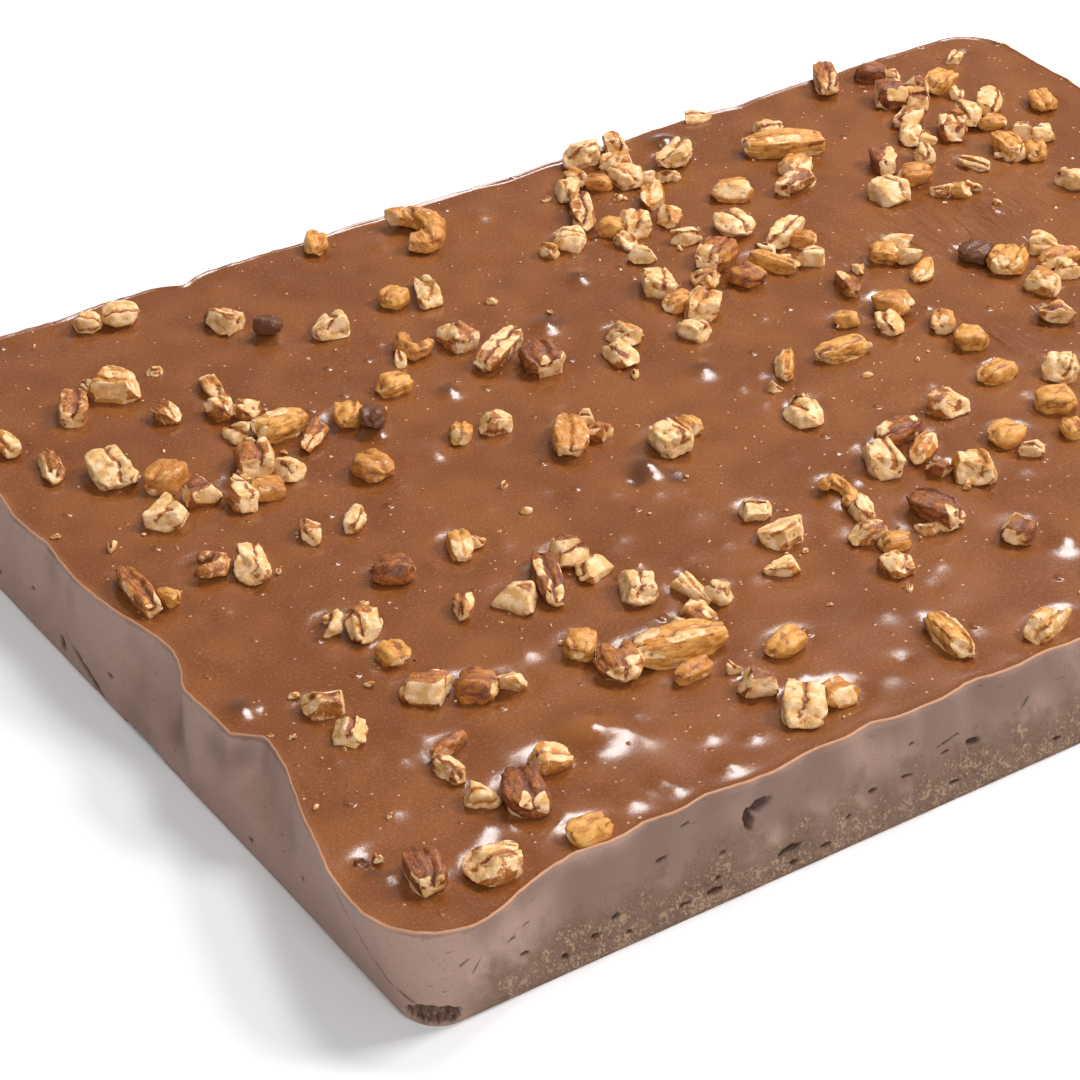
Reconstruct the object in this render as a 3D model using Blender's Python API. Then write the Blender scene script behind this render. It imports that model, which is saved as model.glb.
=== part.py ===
"""Chocolate fudge with chopped pecans: one poured slab at its real size, in metres.

The slab was poured in a lined half-size sheet pan and turned out on a table, pecans up. The pleats of
the lining left flutes and hollows in its walls, and a thin raised lip round its top.

The origin is the middle of the underside. +X runs along the long sides, +Y across the slab, +Z up. The
front is at -Y and the left at -X. The sizes and tables below are in millimetres, and their x and y are
measured from the front left corner of the foot. `finish` turns them into metres about the origin.
"""

import math
import random

import bmesh
import bpy
from mathutils import Matrix, Vector, noise
from mathutils.bvhtree import BVHTree
from mathutils.geometry import delaunay_2d_cdt

MM = 0.001

# The slab
LENGTH = 457.0  # along X, at the foot
WIDTH = 331.0  # along Y, at the foot
THICKNESS = 30.0  # from the table to the lip
FOOT_RADIUS = 11.0
LEVELS = (0.0, 0.15, 0.42, 0.72, 0.94, 1.0)  # rows of points up the walls, as shares of the thickness
STATION_SPACING = 7.5  # between the points along a wall
LIP_WIDTH = 3.0
LIP_HEIGHT = 0.8  # the lip stands this far above the top beside it
TOP_SPACING = 16.0  # between the points of the top
TOP_MARGIN = 19.0  # from the foot line to the outermost of them
SWELL = 0.5  # the top's slow waves
SWELL_LENGTH = 55.0

# How far the lip stands in from the foot line at the middle of each side
LEAN = {"front": 9.0, "right": 9.0, "back": 6.5, "left": 4.0}
# Each corner's radius at the lip, and its lean on its front or back side and on its left or right side.
# The front corners flare out to the left and right.
CORNERS = {
    "front left": (20.0, 0.5, -5.0),
    "front right": (20.0, 0.5, -5.0),
    "back right": (27.0, LEAN["back"], LEAN["right"]),
    "back left": (27.0, LEAN["back"], LEAN["left"]),
}
# How far along each side the flare of its corners holds, and where it ends
FLARE_REACH = {
    "front": (14.0, 48.0),
    "right": (28.0, 74.0),
    "back": (14.0, 48.0),
    "left": (28.0, 74.0),
}

# The flutes of a wall: the place of each along it at half height, its depth, and its half width
FLUTES = {
    "front": (
        (47, 1.0, 6), (68, 1.2, 6), (87, 1.6, 6), (122, 1.2, 7), (142, 1.7, 6),
        (177, 1.6, 7), (203, 0.9, 7), (228, 1.3, 6), (252, 1.0, 7), (281, 1.6, 7),
        (305, 1.1, 6), (334, 1.5, 7), (362, 1.2, 6), (392, 1.4, 7),
    ),
    "right": (
        (62, 1.3, 7), (94, 1.7, 8), (133, 1.2, 7), (171, 1.6, 8), (214, 1.1, 7), (250, 1.4, 7),
    ),
    "back": (
        (60, 1.0, 8), (104, 3.4, 6), (148, 1.0, 8), (181, 0.8, 7), (232, 1.2, 8),
        (280, 0.9, 8), (330, 1.2, 8), (372, 1.0, 7),
    ),
    "left": ((122, -1.2, 5), (205, 1.0, 8), (236, 1.4, 8), (270, 1.1, 8)),
}
FLUTE_SLANT = 0.45  # how far a flute runs along the wall for each millimetre that it rises
FLUTE_RISE = 0.35  # the share of its depth that a flute has at the foot

# The hollows that two folds of the lining pressed in the left wall: where each starts, is deepest and
# ends, its depth, and the height at which its sloping ledge meets those two ends
HOLLOWS = ((55, 97, 104, 7.0, 3, 16), (129, 140, 186, 5.5, 4, 18))
LEDGE_RISE = 9.0  # from a ledge up to the hollow's full depth

# Air holes in the front wall: the place along it, the height, and the length and height of each
HOLES = ((105, 20, 3, 6), (109, 22.5, 7, 3), (116, 7, 9, 1.8), (181, 14, 4, 2), (91, 5, 6, 1.8))
HOLE_DEPTH = 3.0
BREAK_MIDDLE = (4.0, 4.0, 2.5)  # of the break in the foot's front left corner
BREAK_SIZE = (17.0, 9.0, 7.0)  # across the corner, into it, and upwards

# Nuts under the top raise it: the place, the radius and the height of each
BUMP_SHARE = 0.62  # of its radius, where a bump has fallen to about a third of its height
BUMPS = (
    (84, 49, 10, 3.2), (117, 279, 6, 2.6), (194, 233, 7, 1.8), (147, 217, 6, 1.8), (116, 213, 8, 3.0),
    (220, 184, 8, 1.8), (220, 253, 7, 1.8), (298, 313, 9, 3.2), (172, 147, 9, 2.8), (12, 111, 8, 1.8),
    (124, 190, 7, 1.8), (142, 96, 7, 1.4), (178, 307, 7, 1.2), (217, 306, 7, 1.6), (254, 50, 9, 1.4),
    (330, 90, 8, 2.0), (372, 132, 9, 2.2), (300, 40, 8, 1.6), (405, 70, 9, 2.4), (430, 190, 8, 1.8),
)

# The largest pecan pieces: the kind, x, y, length, width, height, and the turn of the length from +X in
# degrees
PIECES = (
    ("half", 127, 67, 27, 12, 6, -10),
    ("half", 330, 287, 27, 11, 6, -27),
    ("curl", 193, 306, 24, 16, 6, 80),
    ("half", 173, 228, 24, 9, 4.5, 29),
    ("rod", 15, 174, 22, 7, 4.5, 85),
    ("rod", 114, 114, 23, 8, 4.5, 68),
    ("rod", 245, 287, 21, 8, 4.5, 62),
    ("half", 373, 319, 20, 9, 5, 59),
    ("half", 162, 173, 20, 11, 5, 58),
    ("chunk", 38, 233, 17, 13, 6, 82),
    ("chunk", 77, 215, 15, 12, 6, 72),
    ("half", 54, 36, 17, 12, 6, 74),
    ("half", 16, 24, 15, 10, 6, 76),
    ("chunk", 32, 16, 15, 11, 5, -5),
    ("heart", 108, 70, 15, 13, 5, 69),
    ("chunk", 138, 26, 17, 12, 5, 52),
    ("chunk", 133, 96, 13, 10, 5, 62),
    ("wedge", 49, 168, 18, 10, 4.5, 61),
    ("half", 180, 215, 15, 13, 6.5, 77),
    ("chunk", 243, 215, 18, 11, 5, 43),
    ("wedge", 239, 234, 16, 11, 5, 57),
    ("half", 265, 238, 16, 12, 6, 28),
    ("heart", 282, 251, 14, 13, 5, 88),
    ("chunk", 255, 270, 13, 10, 5, 63),
    ("chunk", 268, 319, 15, 9, 6, 1),
    ("chunk", 281, 319, 11, 8, 5, 65),
    ("wedge", 294, 302, 17, 10, 4.5, 32),
    ("rod", 293, 238, 19, 8, 4.5, 26),
    ("chunk", 62, 275, 15, 12, 6, -44),
    ("half", 45, 271, 15, 9, 5, 63),
    ("wedge", 136, 270, 12, 11, 5, 63),
    ("wedge", 173, 272, 17, 8, 4.5, 76),
    ("half", 93, 227, 17, 11, 5, -2),
    ("wedge", 41, 204, 14, 12, 5, 35),
    ("chunk", 233, 111, 17, 11, 5, 68),
    ("chunk", 252, 91, 14, 12, 5, 58),
    ("half", 228, 80, 17, 10, 6, 103),
    ("wedge", 185, 96, 15, 11, 5, 6),
    ("rod", 191, 29, 19, 7, 4.5, 85),
    ("chunk", 218, 19, 16, 8, 4.5, 18),
    ("rod", 262, 167, 18, 8, 4.5, -6),
    ("chunk", 185, 154, 14, 11, 6, 87),
    ("half", 342, 182, 15, 12, 5, 36),
    ("chunk", 340, 241, 14, 12, 5, 93),
    ("chunk", 385, 296, 13, 11, 6.5, -16),
    ("half", 407, 295, 13, 10, 5, 15),
    ("rod", 411, 273, 17, 9, 5, 45),
    ("chunk", 387, 265, 13, 9, 5, 65),
    ("half", 395, 244, 16, 9, 5, 79),
    ("chunk", 312, 121, 14, 11, 5, 41),
    ("half", 246, 119, 16, 9, 5, 5),
    ("rod", 317, 263, 16, 8, 4.5, 10),
    ("half", 294, 51, 22, 11, 5, 22),
    ("chunk", 353, 70, 15, 11, 6, 123),
    ("curl", 394, 122, 18, 13, 6, 15),
    ("half", 426, 62, 19, 11, 5, 67),
    ("rod", 332, 28, 19, 5, 4.5, 148),
    ("chunk", 406, 172, 14, 11, 6, 29),
    ("wedge", 436, 140, 16, 10, 5, -34),
)
# How a kind is chopped from its kernel: for each cut, its direction and how far from the middle it
# passes, as a share of the half size
CUTS = {
    "half": (((-1.0, 0.1, 0.2), 0.9),),
    "rod": (((1.0, 0.1, 0.3), 0.84), ((-1.0, 0.2, 0.1), 0.84)),
    "chunk": (((1.0, 0.2, 0.2), 0.66), ((-1.0, 0.2, 0.3), 0.7), ((0.1, -1.0, 0.3), 0.7)),
    "wedge": (
        ((1.0, 0.5, 0.1), 0.6),
        ((-1.0, 0.4, 0.2), 0.66),
        ((0.2, -0.6, 1.0), 0.4),
        ((0.3, -1.0, 0.2), 0.6),
    ),
    "heart": (((-1.0, 0.0, 0.2), 0.8),),
    "curl": (),
}
CUT_JITTER = 0.22  # of a cut's direction
CUT_SHARE_JITTER = 0.08
KERNEL_JITTER = 0.035
KERNEL_SIDES = 8  # every second corner is a ridge, with a groove along the top between two of them
KERNEL_RINGS = 5
RIDGE_DEPTH = 0.09
BLUNTNESS = 0.7
SLIMMER_END = 0.3
HEART_SPLIT = (0.2, 0.18, 0.12)  # the groove's depth, its depth at the end, and its half width
LENGTHWAYS = Matrix.Rotation(math.pi / 2, 4, "Y")
PIECE_TILT = math.radians(11)
FLAT_SHARE = 0.16  # what the cut under a piece takes off its height
SEAT_GAP = 0.3  # between a piece and the slab, and between two pieces
SEAT_PROBES = 6  # to each side of a piece's middle
NEIGHBOUR_REACH = 40.0
CURL_RADIUS = 0.31
CURL_THICKNESS = 0.19
CURL_TAPER = (0.72, 0.34)  # its thickness at the ends, and what the middle adds
CURL_SWEEP = math.radians(235)
CURL_STEPS = 8
CURL_SIDES = 6

SHARP_ANGLE = math.radians(38)
FINISHES = {  # colour, roughness
    "fudge": ((0.19, 0.075, 0.04), 0.42),
    "pecan": ((0.48, 0.25, 0.09), 0.6),
}


def smooth_step(low, high, value):
    """0 below low, 1 above high, and a smooth rise between them."""
    share = min(max((value - low) / (high - low), 0.0), 1.0)
    return share * share * (3.0 - 2.0 * share)


def bell(distance, half_width):
    return math.exp(-((distance / half_width) ** 2))


def mix(a, b, share):
    return a + (b - a) * share


def side_lean(side, along):
    """How far the lip stands in at this place, with the flare of the side's two corners."""
    across = side in ("front", "back")
    size = LENGTH if across else WIDTH
    ends = [name for name in CORNERS if side in name]
    ends.sort(key=lambda name: ("right" in name) if across else ("back" in name))
    lean = LEAN[side]
    for end, distance in zip(ends, (along, size - along)):
        at_corner = CORNERS[end][1 if across else 2]
        lean += (at_corner - LEAN[side]) * (1.0 - smooth_step(*FLARE_REACH[side], distance))
    return lean


def hollow(along, height):
    """How far the two folds press the left wall in."""
    depth = 0.0
    for start, deepest, end, most, low, high in HOLLOWS:
        share = smooth_step(start, deepest, along) * (1.0 - smooth_step(deepest, end, along))
        ledge = mix(low, high, min(max((along - start) / (end - start), 0.0), 1.0))
        depth += most * share * smooth_step(ledge - 1.0, ledge + LEDGE_RISE, height)
    return depth


def inset(side, along, level):
    """How far the wall stands in from the foot line at a level from 0 at the foot to 1 at the lip."""
    height = level * THICKNESS
    depth = side_lean(side, along) * level
    slide = FLUTE_SLANT * (height - THICKNESS / 2)
    for place, most, half_width in FLUTES[side]:
        rise = mix(FLUTE_RISE, 1.0, level) * min(1.0, 4 * level)
        depth += most * bell(along - place - slide, half_width) * rise
    if side == "left":
        depth += hollow(along, height)
    return depth


class Outline:
    """The slab's closed outline, as stations that any level and any further inset can place."""

    def __init__(self):
        # Each side's start, its direction, and the corner at its end, going round anticlockwise
        self.sides = (
            ("front", Vector((0, 0)), Vector((1, 0)), LENGTH, "front left", "front right"),
            ("right", Vector((LENGTH, 0)), Vector((0, 1)), WIDTH, "front right", "back right"),
            ("back", Vector((LENGTH, WIDTH)), Vector((-1, 0)), LENGTH, "back right", "back left"),
            ("left", Vector((0, WIDTH)), Vector((0, -1)), WIDTH, "back left", "front left"),
        )
        self.stations = []
        for index, (_, _, _, length, first, last) in enumerate(self.sides):
            run = length - CORNERS[first][0] - CORNERS[last][0]
            count = round(run / STATION_SPACING)
            self.stations += [(index, "straight", step / count) for step in range(count)]
            count = max(4, round(CORNERS[last][0] * math.pi / 2 / STATION_SPACING))
            self.stations += [(index, "corner", step / count) for step in range(count)]

    def radius(self, corner, level):
        return mix(FOOT_RADIUS, CORNERS[corner][0], level)

    def place(self, station, level, further=0.0):
        """The point of a station at a level, moved in by its wall's shape and a further distance."""
        index, form, share = station
        side, start, direction, length, first, last = self.sides[index]
        inward = Vector((-direction.y, direction.x))
        end_radius = self.radius(last, level)
        if form == "straight":
            along = mix(self.radius(first, level), length - end_radius, share)
            depth = self.depth(side, start, direction, along, level) + further
            return start + direction * along + inward * depth
        turned = Matrix.Rotation(share * math.pi / 2, 2)
        centre = start + direction * (length - end_radius) + inward * end_radius
        next_side, next_start, next_direction, _, _, _ = self.sides[(index + 1) % 4]
        here = self.depth(side, start, direction, length - end_radius, level)
        there = self.depth(next_side, next_start, next_direction, end_radius, level)
        return centre - (turned @ inward) * (end_radius - mix(here, there, share) - further)

    def depth(self, side, start, direction, along, level):
        """The wall's inset at a distance along the side as it is walked."""
        point = start + direction * along
        return inset(side, point.x if side in ("front", "back") else point.y, level)

    def loop(self, level, further=0.0):
        return [self.place(station, level, further) for station in self.stations]


def top_height(x, y):
    """The height of the top inside its lip."""
    height = THICKNESS - LIP_HEIGHT + SWELL * noise.noise(Vector((x, y, 0.0)) / SWELL_LENGTH)
    for bump_x, bump_y, radius, rise in BUMPS:
        height += rise * bell(math.hypot(x - bump_x, y - bump_y), radius * BUMP_SHARE)
    return height


def top_points(edge):
    """The points of the top: the loop along its edge, then a triangular net, closer over each bump."""
    points = list(edge)
    near = [Vector(bump[:2]) for bump in BUMPS]
    reach = [bump[2] + TOP_SPACING / 3 for bump in BUMPS]
    rows = int((WIDTH - 2 * TOP_MARGIN) / (TOP_SPACING * math.sqrt(0.75)))
    columns = int((LENGTH - 2 * TOP_MARGIN) / TOP_SPACING)
    for row in range(rows + 1):
        for column in range(columns + row % 2):
            point = Vector((
                mix(TOP_MARGIN, LENGTH - TOP_MARGIN, (column + 0.5 * (1 - row % 2)) / columns),
                mix(TOP_MARGIN, WIDTH - TOP_MARGIN, row / rows),
            ))
            if all((point - centre).length > far for centre, far in zip(near, reach)):
                points.append(point)
    for centre, (_, _, radius, _) in zip(near, BUMPS):
        points.append(centre)
        for step in range(6):
            turn = Matrix.Rotation(step * math.pi / 3, 2)
            points.append(centre + turn @ Vector((radius * BUMP_SHARE, 0)))
    return points


def make_slab():
    """The slab as one closed mesh: its foot, its walls, its lip and its top."""
    outline = Outline()
    count = len(outline.stations)
    bm = bmesh.new()
    rings = [
        [bm.verts.new((point.x, point.y, level * THICKNESS)) for point in outline.loop(level)]
        for level in LEVELS
    ]
    edge = outline.loop(1.0, LIP_WIDTH)
    found, _, faces, sources, _, _ = delaunay_2d_cdt(top_points(edge), [], [list(range(count))], 1, 0.01)
    top = [bm.verts.new((point.x, point.y, top_height(point.x, point.y))) for point in found]
    for face in faces:
        bm.faces.new([top[index] for index in face])
    inner = [None] * count
    for vert, source in zip(top, sources):
        for index in source:
            if index < count:
                inner[index] = vert
    rings.append(inner)
    for lower, upper in zip(rings, rings[1:]):
        for index in range(count):
            after = (index + 1) % count
            bm.faces.new((lower[index], lower[after], upper[after], upper[index]))
    bm.faces.new(reversed(rings[0]))
    return bm


def cut(bm, point, outward):
    """Cuts off what lies beyond a plane and closes the cut."""
    everything = bm.verts[:] + bm.edges[:] + bm.faces[:]
    bmesh.ops.bisect_plane(bm, geom=everything, plane_co=point, plane_no=outward, clear_outer=True)
    bmesh.ops.holes_fill(bm, edges=[item for item in bm.edges if item.is_boundary], sides=0)


def make_curl():
    """A kernel's bent end: a tapered tube swept round an arc, of unit size."""
    bm = bmesh.new()
    upright = Matrix.Translation((CURL_RADIUS, 0, 0)) @ Matrix.Rotation(math.pi / 2, 4, "X")
    made = bmesh.ops.create_circle(bm, segments=CURL_SIDES, radius=CURL_THICKNESS, matrix=upright)
    ring = made["verts"]
    edges = {item for vert in ring for item in vert.link_edges}
    bmesh.ops.spin(
        bm, geom=ring + list(edges), cent=(0, 0, 0), axis=(0, 0, 1), angle=CURL_SWEEP, steps=CURL_STEPS
    )
    for vert in bm.verts:
        angle = math.atan2(vert.co.y, vert.co.x) % (2 * math.pi)
        middle = Vector((math.cos(angle), math.sin(angle), 0)) * CURL_RADIUS
        taper = CURL_TAPER[0] + CURL_TAPER[1] * math.sin(math.pi * min(angle / CURL_SWEEP, 1.0))
        vert.co = middle + (vert.co - middle) * taper
    bmesh.ops.holes_fill(bm, edges=[item for item in bm.edges if item.is_boundary], sides=0)
    opening_back = Matrix.Rotation(-CURL_SWEEP / 2 - math.pi / 2, 3, "Z")
    bmesh.ops.rotate(bm, verts=bm.verts, matrix=opening_back)
    bmesh.ops.recalc_face_normals(bm, faces=bm.faces)
    return bm


def make_kernel(kind):
    """The uncut kernel that a piece is chopped from, of unit size, lying along X."""
    if kind == "curl":
        return make_curl()
    bm = bmesh.new()
    bmesh.ops.create_uvsphere(
        bm, u_segments=KERNEL_SIDES, v_segments=KERNEL_RINGS, radius=0.5, matrix=LENGTHWAYS
    )
    for vert in bm.verts:
        x, y, z = vert.co
        if kind == "heart":
            groove, notch, half_width = HEART_SPLIT
            split = smooth_step(-0.2, 0.5, x) * bell(y, half_width)
            vert.co.z -= groove * split
            vert.co.x -= notch * split
        else:
            ridge = 1.0 - RIDGE_DEPTH * math.cos(KERNEL_SIDES / 2 * math.atan2(z, y))
            vert.co.x = math.copysign(abs(2 * x) ** BLUNTNESS / 2, x)
            vert.co.y *= ridge * (1.0 - SLIMMER_END * max(x, 0.0))
            vert.co.z *= ridge
    return bm


def size_of(bm):
    """The middle and the size of a mesh's box."""
    low = Vector([min(vert.co[axis] for vert in bm.verts) for axis in range(3)])
    high = Vector([max(vert.co[axis] for vert in bm.verts) for axis in range(3)])
    return (low + high) / 2, high - low


def make_piece(kind, length, width, height, draw):
    """One chopped piece, lying along X over the origin, with its flat cut side down at z = 0."""
    bm = make_kernel(kind)
    for vert in bm.verts:
        vert.co += vert.co.normalized() * draw.uniform(-KERNEL_JITTER, KERNEL_JITTER)
    hand = draw.choice((-1.0, 1.0))
    for direction, share in CUTS[kind]:
        jitter = [draw.uniform(-CUT_JITTER, CUT_JITTER) for _ in direction]
        outward = (Vector(direction) + Vector(jitter)).normalized()
        outward.y *= hand
        depth = share + draw.uniform(-CUT_SHARE_JITTER, CUT_SHARE_JITTER)
        cut(bm, outward * depth / 2, outward)
    tilt = Matrix.Rotation(draw.uniform(-PIECE_TILT, PIECE_TILT), 3, "X")
    tilt @= Matrix.Rotation(draw.uniform(-PIECE_TILT, PIECE_TILT), 3, "Y")
    bmesh.ops.rotate(bm, verts=bm.verts, matrix=tilt)
    middle, size = size_of(bm)
    cut(bm, middle - Vector((0, 0, size.z * (0.5 - FLAT_SHARE))), Vector((0, 0, -1)))
    middle, size = size_of(bm)
    bmesh.ops.translate(bm, verts=bm.verts, vec=Vector((0, 0, size.z / 2)) - middle)
    bmesh.ops.scale(bm, verts=bm.verts, vec=(length / size.x, width / size.y, height / size.z))
    return bm


def reach_of(piece, direction):
    """How far a piece reaches from its middle in a direction, taken as an ellipse."""
    _, _, _, length, width, _, turn = piece
    lengthways = Vector((math.cos(math.radians(turn)), math.sin(math.radians(turn))))
    along = direction.dot(lengthways) * length / 2
    across = direction.cross(lengthways) * width / 2
    return math.hypot(along, across)


def part_from_neighbours(bm, piece):
    """Trims a placed piece where it would touch another of the large pieces."""
    here = Vector(piece[1:3])
    for other in PIECES:
        between = Vector(other[1:3]) - here
        if other is piece or between.length > NEIGHBOUR_REACH:
            continue
        direction = between.normalized()
        mine, theirs = reach_of(piece, direction), reach_of(other, direction)
        if mine + theirs + 2 * SEAT_GAP > between.length:
            point = here + direction * (between.length * mine / (mine + theirs) - SEAT_GAP)
            cut(bm, point.to_3d(), direction.to_3d())


def seat(bm, slab_tree):
    """Lowers a placed piece to a small gap over the highest spot under it."""
    middle, size = size_of(bm)
    highest = 0.0
    step = size / (2 * SEAT_PROBES)
    for row in range(-SEAT_PROBES, SEAT_PROBES + 1):
        for column in range(-SEAT_PROBES, SEAT_PROBES + 1):
            above = Vector((middle.x + step.x * column, middle.y + step.y * row, 2 * THICKNESS))
            hit = slab_tree.ray_cast(above, Vector((0, 0, -1)))[0]
            if hit:
                highest = max(highest, hit.z)
    bmesh.ops.translate(bm, verts=bm.verts, vec=(0, 0, highest + SEAT_GAP))


def make_cutters():
    """The air holes of the front wall and the break in its foot corner, as closed bodies to cut away."""
    bm = bmesh.new()
    for along, height, length, tall in HOLES:
        wall = Vector((along, inset("front", along, height / THICKNESS), height))
        place = Matrix.Translation(wall) @ Matrix.Diagonal((length, 2 * HOLE_DEPTH, tall, 1.0))
        bmesh.ops.create_icosphere(bm, subdivisions=1, radius=0.5, matrix=place)
    place = Matrix.Translation(BREAK_MIDDLE) @ Matrix.Rotation(math.radians(-45), 4, "Z")
    place @= Matrix.Diagonal((*BREAK_SIZE, 1.0))
    bmesh.ops.create_icosphere(bm, subdivisions=1, radius=0.5, matrix=place)
    return bm


def material(name):
    colour, roughness = FINISHES[name]
    made = bpy.data.materials.new(name)
    made.use_nodes = True
    shader = made.node_tree.nodes["Principled BSDF"]
    shader.inputs["Base Color"].default_value = (*colour, 1.0)
    shader.inputs["Roughness"].default_value = roughness
    shader.inputs["Metallic"].default_value = 0.0
    return made


def finish(bm, name, finish_material, smooth):
    """Makes an object of a mesh in millimetres, in metres about the origin."""
    bmesh.ops.remove_doubles(bm, verts=bm.verts, dist=0.02)
    bmesh.ops.translate(bm, verts=bm.verts, vec=(-LENGTH / 2, -WIDTH / 2, 0))
    bmesh.ops.scale(bm, verts=bm.verts, vec=(MM, MM, MM))
    mesh = bpy.data.meshes.new(name)
    bm.to_mesh(mesh)
    bm.free()
    if smooth:
        mesh.shade_smooth()
        mesh.set_sharp_from_angle(angle=SHARP_ANGLE)
    mesh.materials.append(finish_material)
    made = bpy.data.objects.new(name, mesh)
    bpy.context.scene.collection.objects.link(made)
    return made


def main():
    for old in list(bpy.data.objects):
        bpy.data.objects.remove(old)
    fudge, pecan = material("fudge"), material("pecan")
    slab_mesh = make_slab()
    slab_tree = BVHTree.FromBMesh(slab_mesh)
    slab = finish(slab_mesh, "fudge_slab", fudge, smooth=True)
    cutters = finish(make_cutters(), "holes", fudge, smooth=False)
    cutters.hide_render = True
    cutters.display_type = "WIRE"
    holes = slab.modifiers.new("Air holes", "BOOLEAN")
    holes.object = cutters
    for index, piece in enumerate(PIECES, start=1):
        kind, x, y, length, width, height, turn = piece
        bm = make_piece(kind, length, width, height, random.Random(index))
        place = Matrix.Translation((x, y, 0)) @ Matrix.Rotation(math.radians(turn), 4, "Z")
        bmesh.ops.transform(bm, verts=bm.verts, matrix=place)
        part_from_neighbours(bm, piece)
        seat(bm, slab_tree)
        finish(bm, f"pecan_{index:02d}", pecan, smooth=True)


main()
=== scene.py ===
"""Finished shapes and finishes of a chocolate fudge slab with chopped pecans.

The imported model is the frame. Lengths below are in millimetres, and x and y are measured from the
front left corner of the slab's foot, as in the part's source. `to_frame` turns a finished mesh into
metres about the frame's origin, the middle of the underside.
"""

import logging
import math
import random
from dataclasses import dataclass, field
from enum import Enum

import bmesh
import bpy
import numpy as np
from mathutils import Matrix, Vector, noise


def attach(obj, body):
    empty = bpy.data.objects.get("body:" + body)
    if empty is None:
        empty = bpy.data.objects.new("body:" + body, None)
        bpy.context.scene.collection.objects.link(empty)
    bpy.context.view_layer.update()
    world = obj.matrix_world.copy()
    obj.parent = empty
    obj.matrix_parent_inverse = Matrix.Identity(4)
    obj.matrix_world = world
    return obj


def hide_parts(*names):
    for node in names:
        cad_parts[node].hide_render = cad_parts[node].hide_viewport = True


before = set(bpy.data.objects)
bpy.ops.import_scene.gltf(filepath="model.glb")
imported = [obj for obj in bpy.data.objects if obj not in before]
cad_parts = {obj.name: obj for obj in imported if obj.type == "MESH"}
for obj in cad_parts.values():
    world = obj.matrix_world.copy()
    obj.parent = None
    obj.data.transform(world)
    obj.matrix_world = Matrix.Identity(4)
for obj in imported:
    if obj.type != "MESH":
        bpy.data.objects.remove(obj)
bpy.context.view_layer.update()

log = logging.getLogger("fudge")

MM = 0.001
LENGTH = 457.0
WIDTH = 331.0
THICKNESS = 30.0
BODY = "root"

Triple = tuple[float, float, float]
Colour = Triple


def to_frame() -> Matrix:
    """The matrix from millimetres about the foot's front left corner to metres in the frame."""
    return Matrix.Scale(MM, 4) @ Matrix.Translation((-LENGTH / 2, -WIDTH / 2, 0))


def smooth_step(low: float, high: float, value: np.ndarray) -> np.ndarray:
    """0 below low, 1 above high, and a smooth rise between them."""
    share = np.clip((value - low) / (high - low), 0.0, 1.0)
    return share * share * (3.0 - 2.0 * share)


def bell(distance: np.ndarray, half_width: float) -> np.ndarray:
    """1 at no distance, falling smoothly to nothing over about two half widths."""
    return np.exp(-((distance / half_width) ** 2))


def mix(a: float, b: float, share: np.ndarray) -> np.ndarray:
    """The value at a share of the way from a to b."""
    return a + (b - a) * share


def turned(x: np.ndarray, y: np.ndarray, degrees: float) -> tuple[np.ndarray, np.ndarray]:
    """How far places lie along a direction and across it."""
    turn = math.radians(degrees)
    return x * math.cos(turn) + y * math.sin(turn), y * math.cos(turn) - x * math.sin(turn)


def noise_at(points: np.ndarray, size: float, seed: float = 0.0) -> np.ndarray:
    """Smooth noise at points.

    Args:
        points: one row of three numbers for each point.
        size: the length of the noise's features, in the points' unit.
        seed: moves the noise, so that two uses differ.

    Returns:
        One number from about -1 to 1 for each point.
    """
    return np.array([noise.noise(place) for place in (points / size + seed).tolist()])


def cups_at(points: np.ndarray, size: float, seed: float = 0.0) -> np.ndarray:
    """How far each point is from the nearest of some scattered centres, in sizes."""
    return np.array([noise.voronoi(place)[0][0] for place in (points / size + seed).tolist()])


# ---------------------------------------------------------------------------------------------------
# Shader trees
# ---------------------------------------------------------------------------------------------------


class Signal:
    """A value that a shader tree carries. Python's arithmetic on it adds Math nodes."""

    def __init__(self, tree: "Tree", socket: bpy.types.NodeSocket) -> None:
        """Wraps an output socket of a tree."""
        self.tree = tree
        self.socket = socket

    def math(self, operation: str, *others: "float | Signal") -> "Signal":
        """A Math node with this signal first."""
        return self.tree.maths(operation, self, *others)

    def __add__(self, other: "float | Signal") -> "Signal":
        """The sum."""
        return self.math("ADD", other)

    def __radd__(self, other: float) -> "Signal":
        """The sum, with a number first."""
        return self.math("ADD", other)

    def __sub__(self, other: "float | Signal") -> "Signal":
        """The difference."""
        return self.math("SUBTRACT", other)

    def __rsub__(self, other: float) -> "Signal":
        """The difference, with a number first."""
        return self.tree.maths("SUBTRACT", other, self)

    def __mul__(self, other: "float | Signal") -> "Signal":
        """The product."""
        return self.math("MULTIPLY", other)

    def step(self, low: float, high: float) -> "Signal":
        """0 at low, 1 at high, and a smooth change between them."""
        return self.tree.add(
            "ShaderNodeMapRange",
            {"interpolation_type": "SMOOTHSTEP"},
            {"Value": self, "From Min": low, "From Max": high},
        )

    def smallest(self, other: "float | Signal") -> "Signal":
        """The smaller of the two."""
        return self.math("MINIMUM", other)

    def largest(self, other: "float | Signal") -> "Signal":
        """The larger of the two."""
        return self.math("MAXIMUM", other)


Value = float | tuple | Signal


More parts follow.
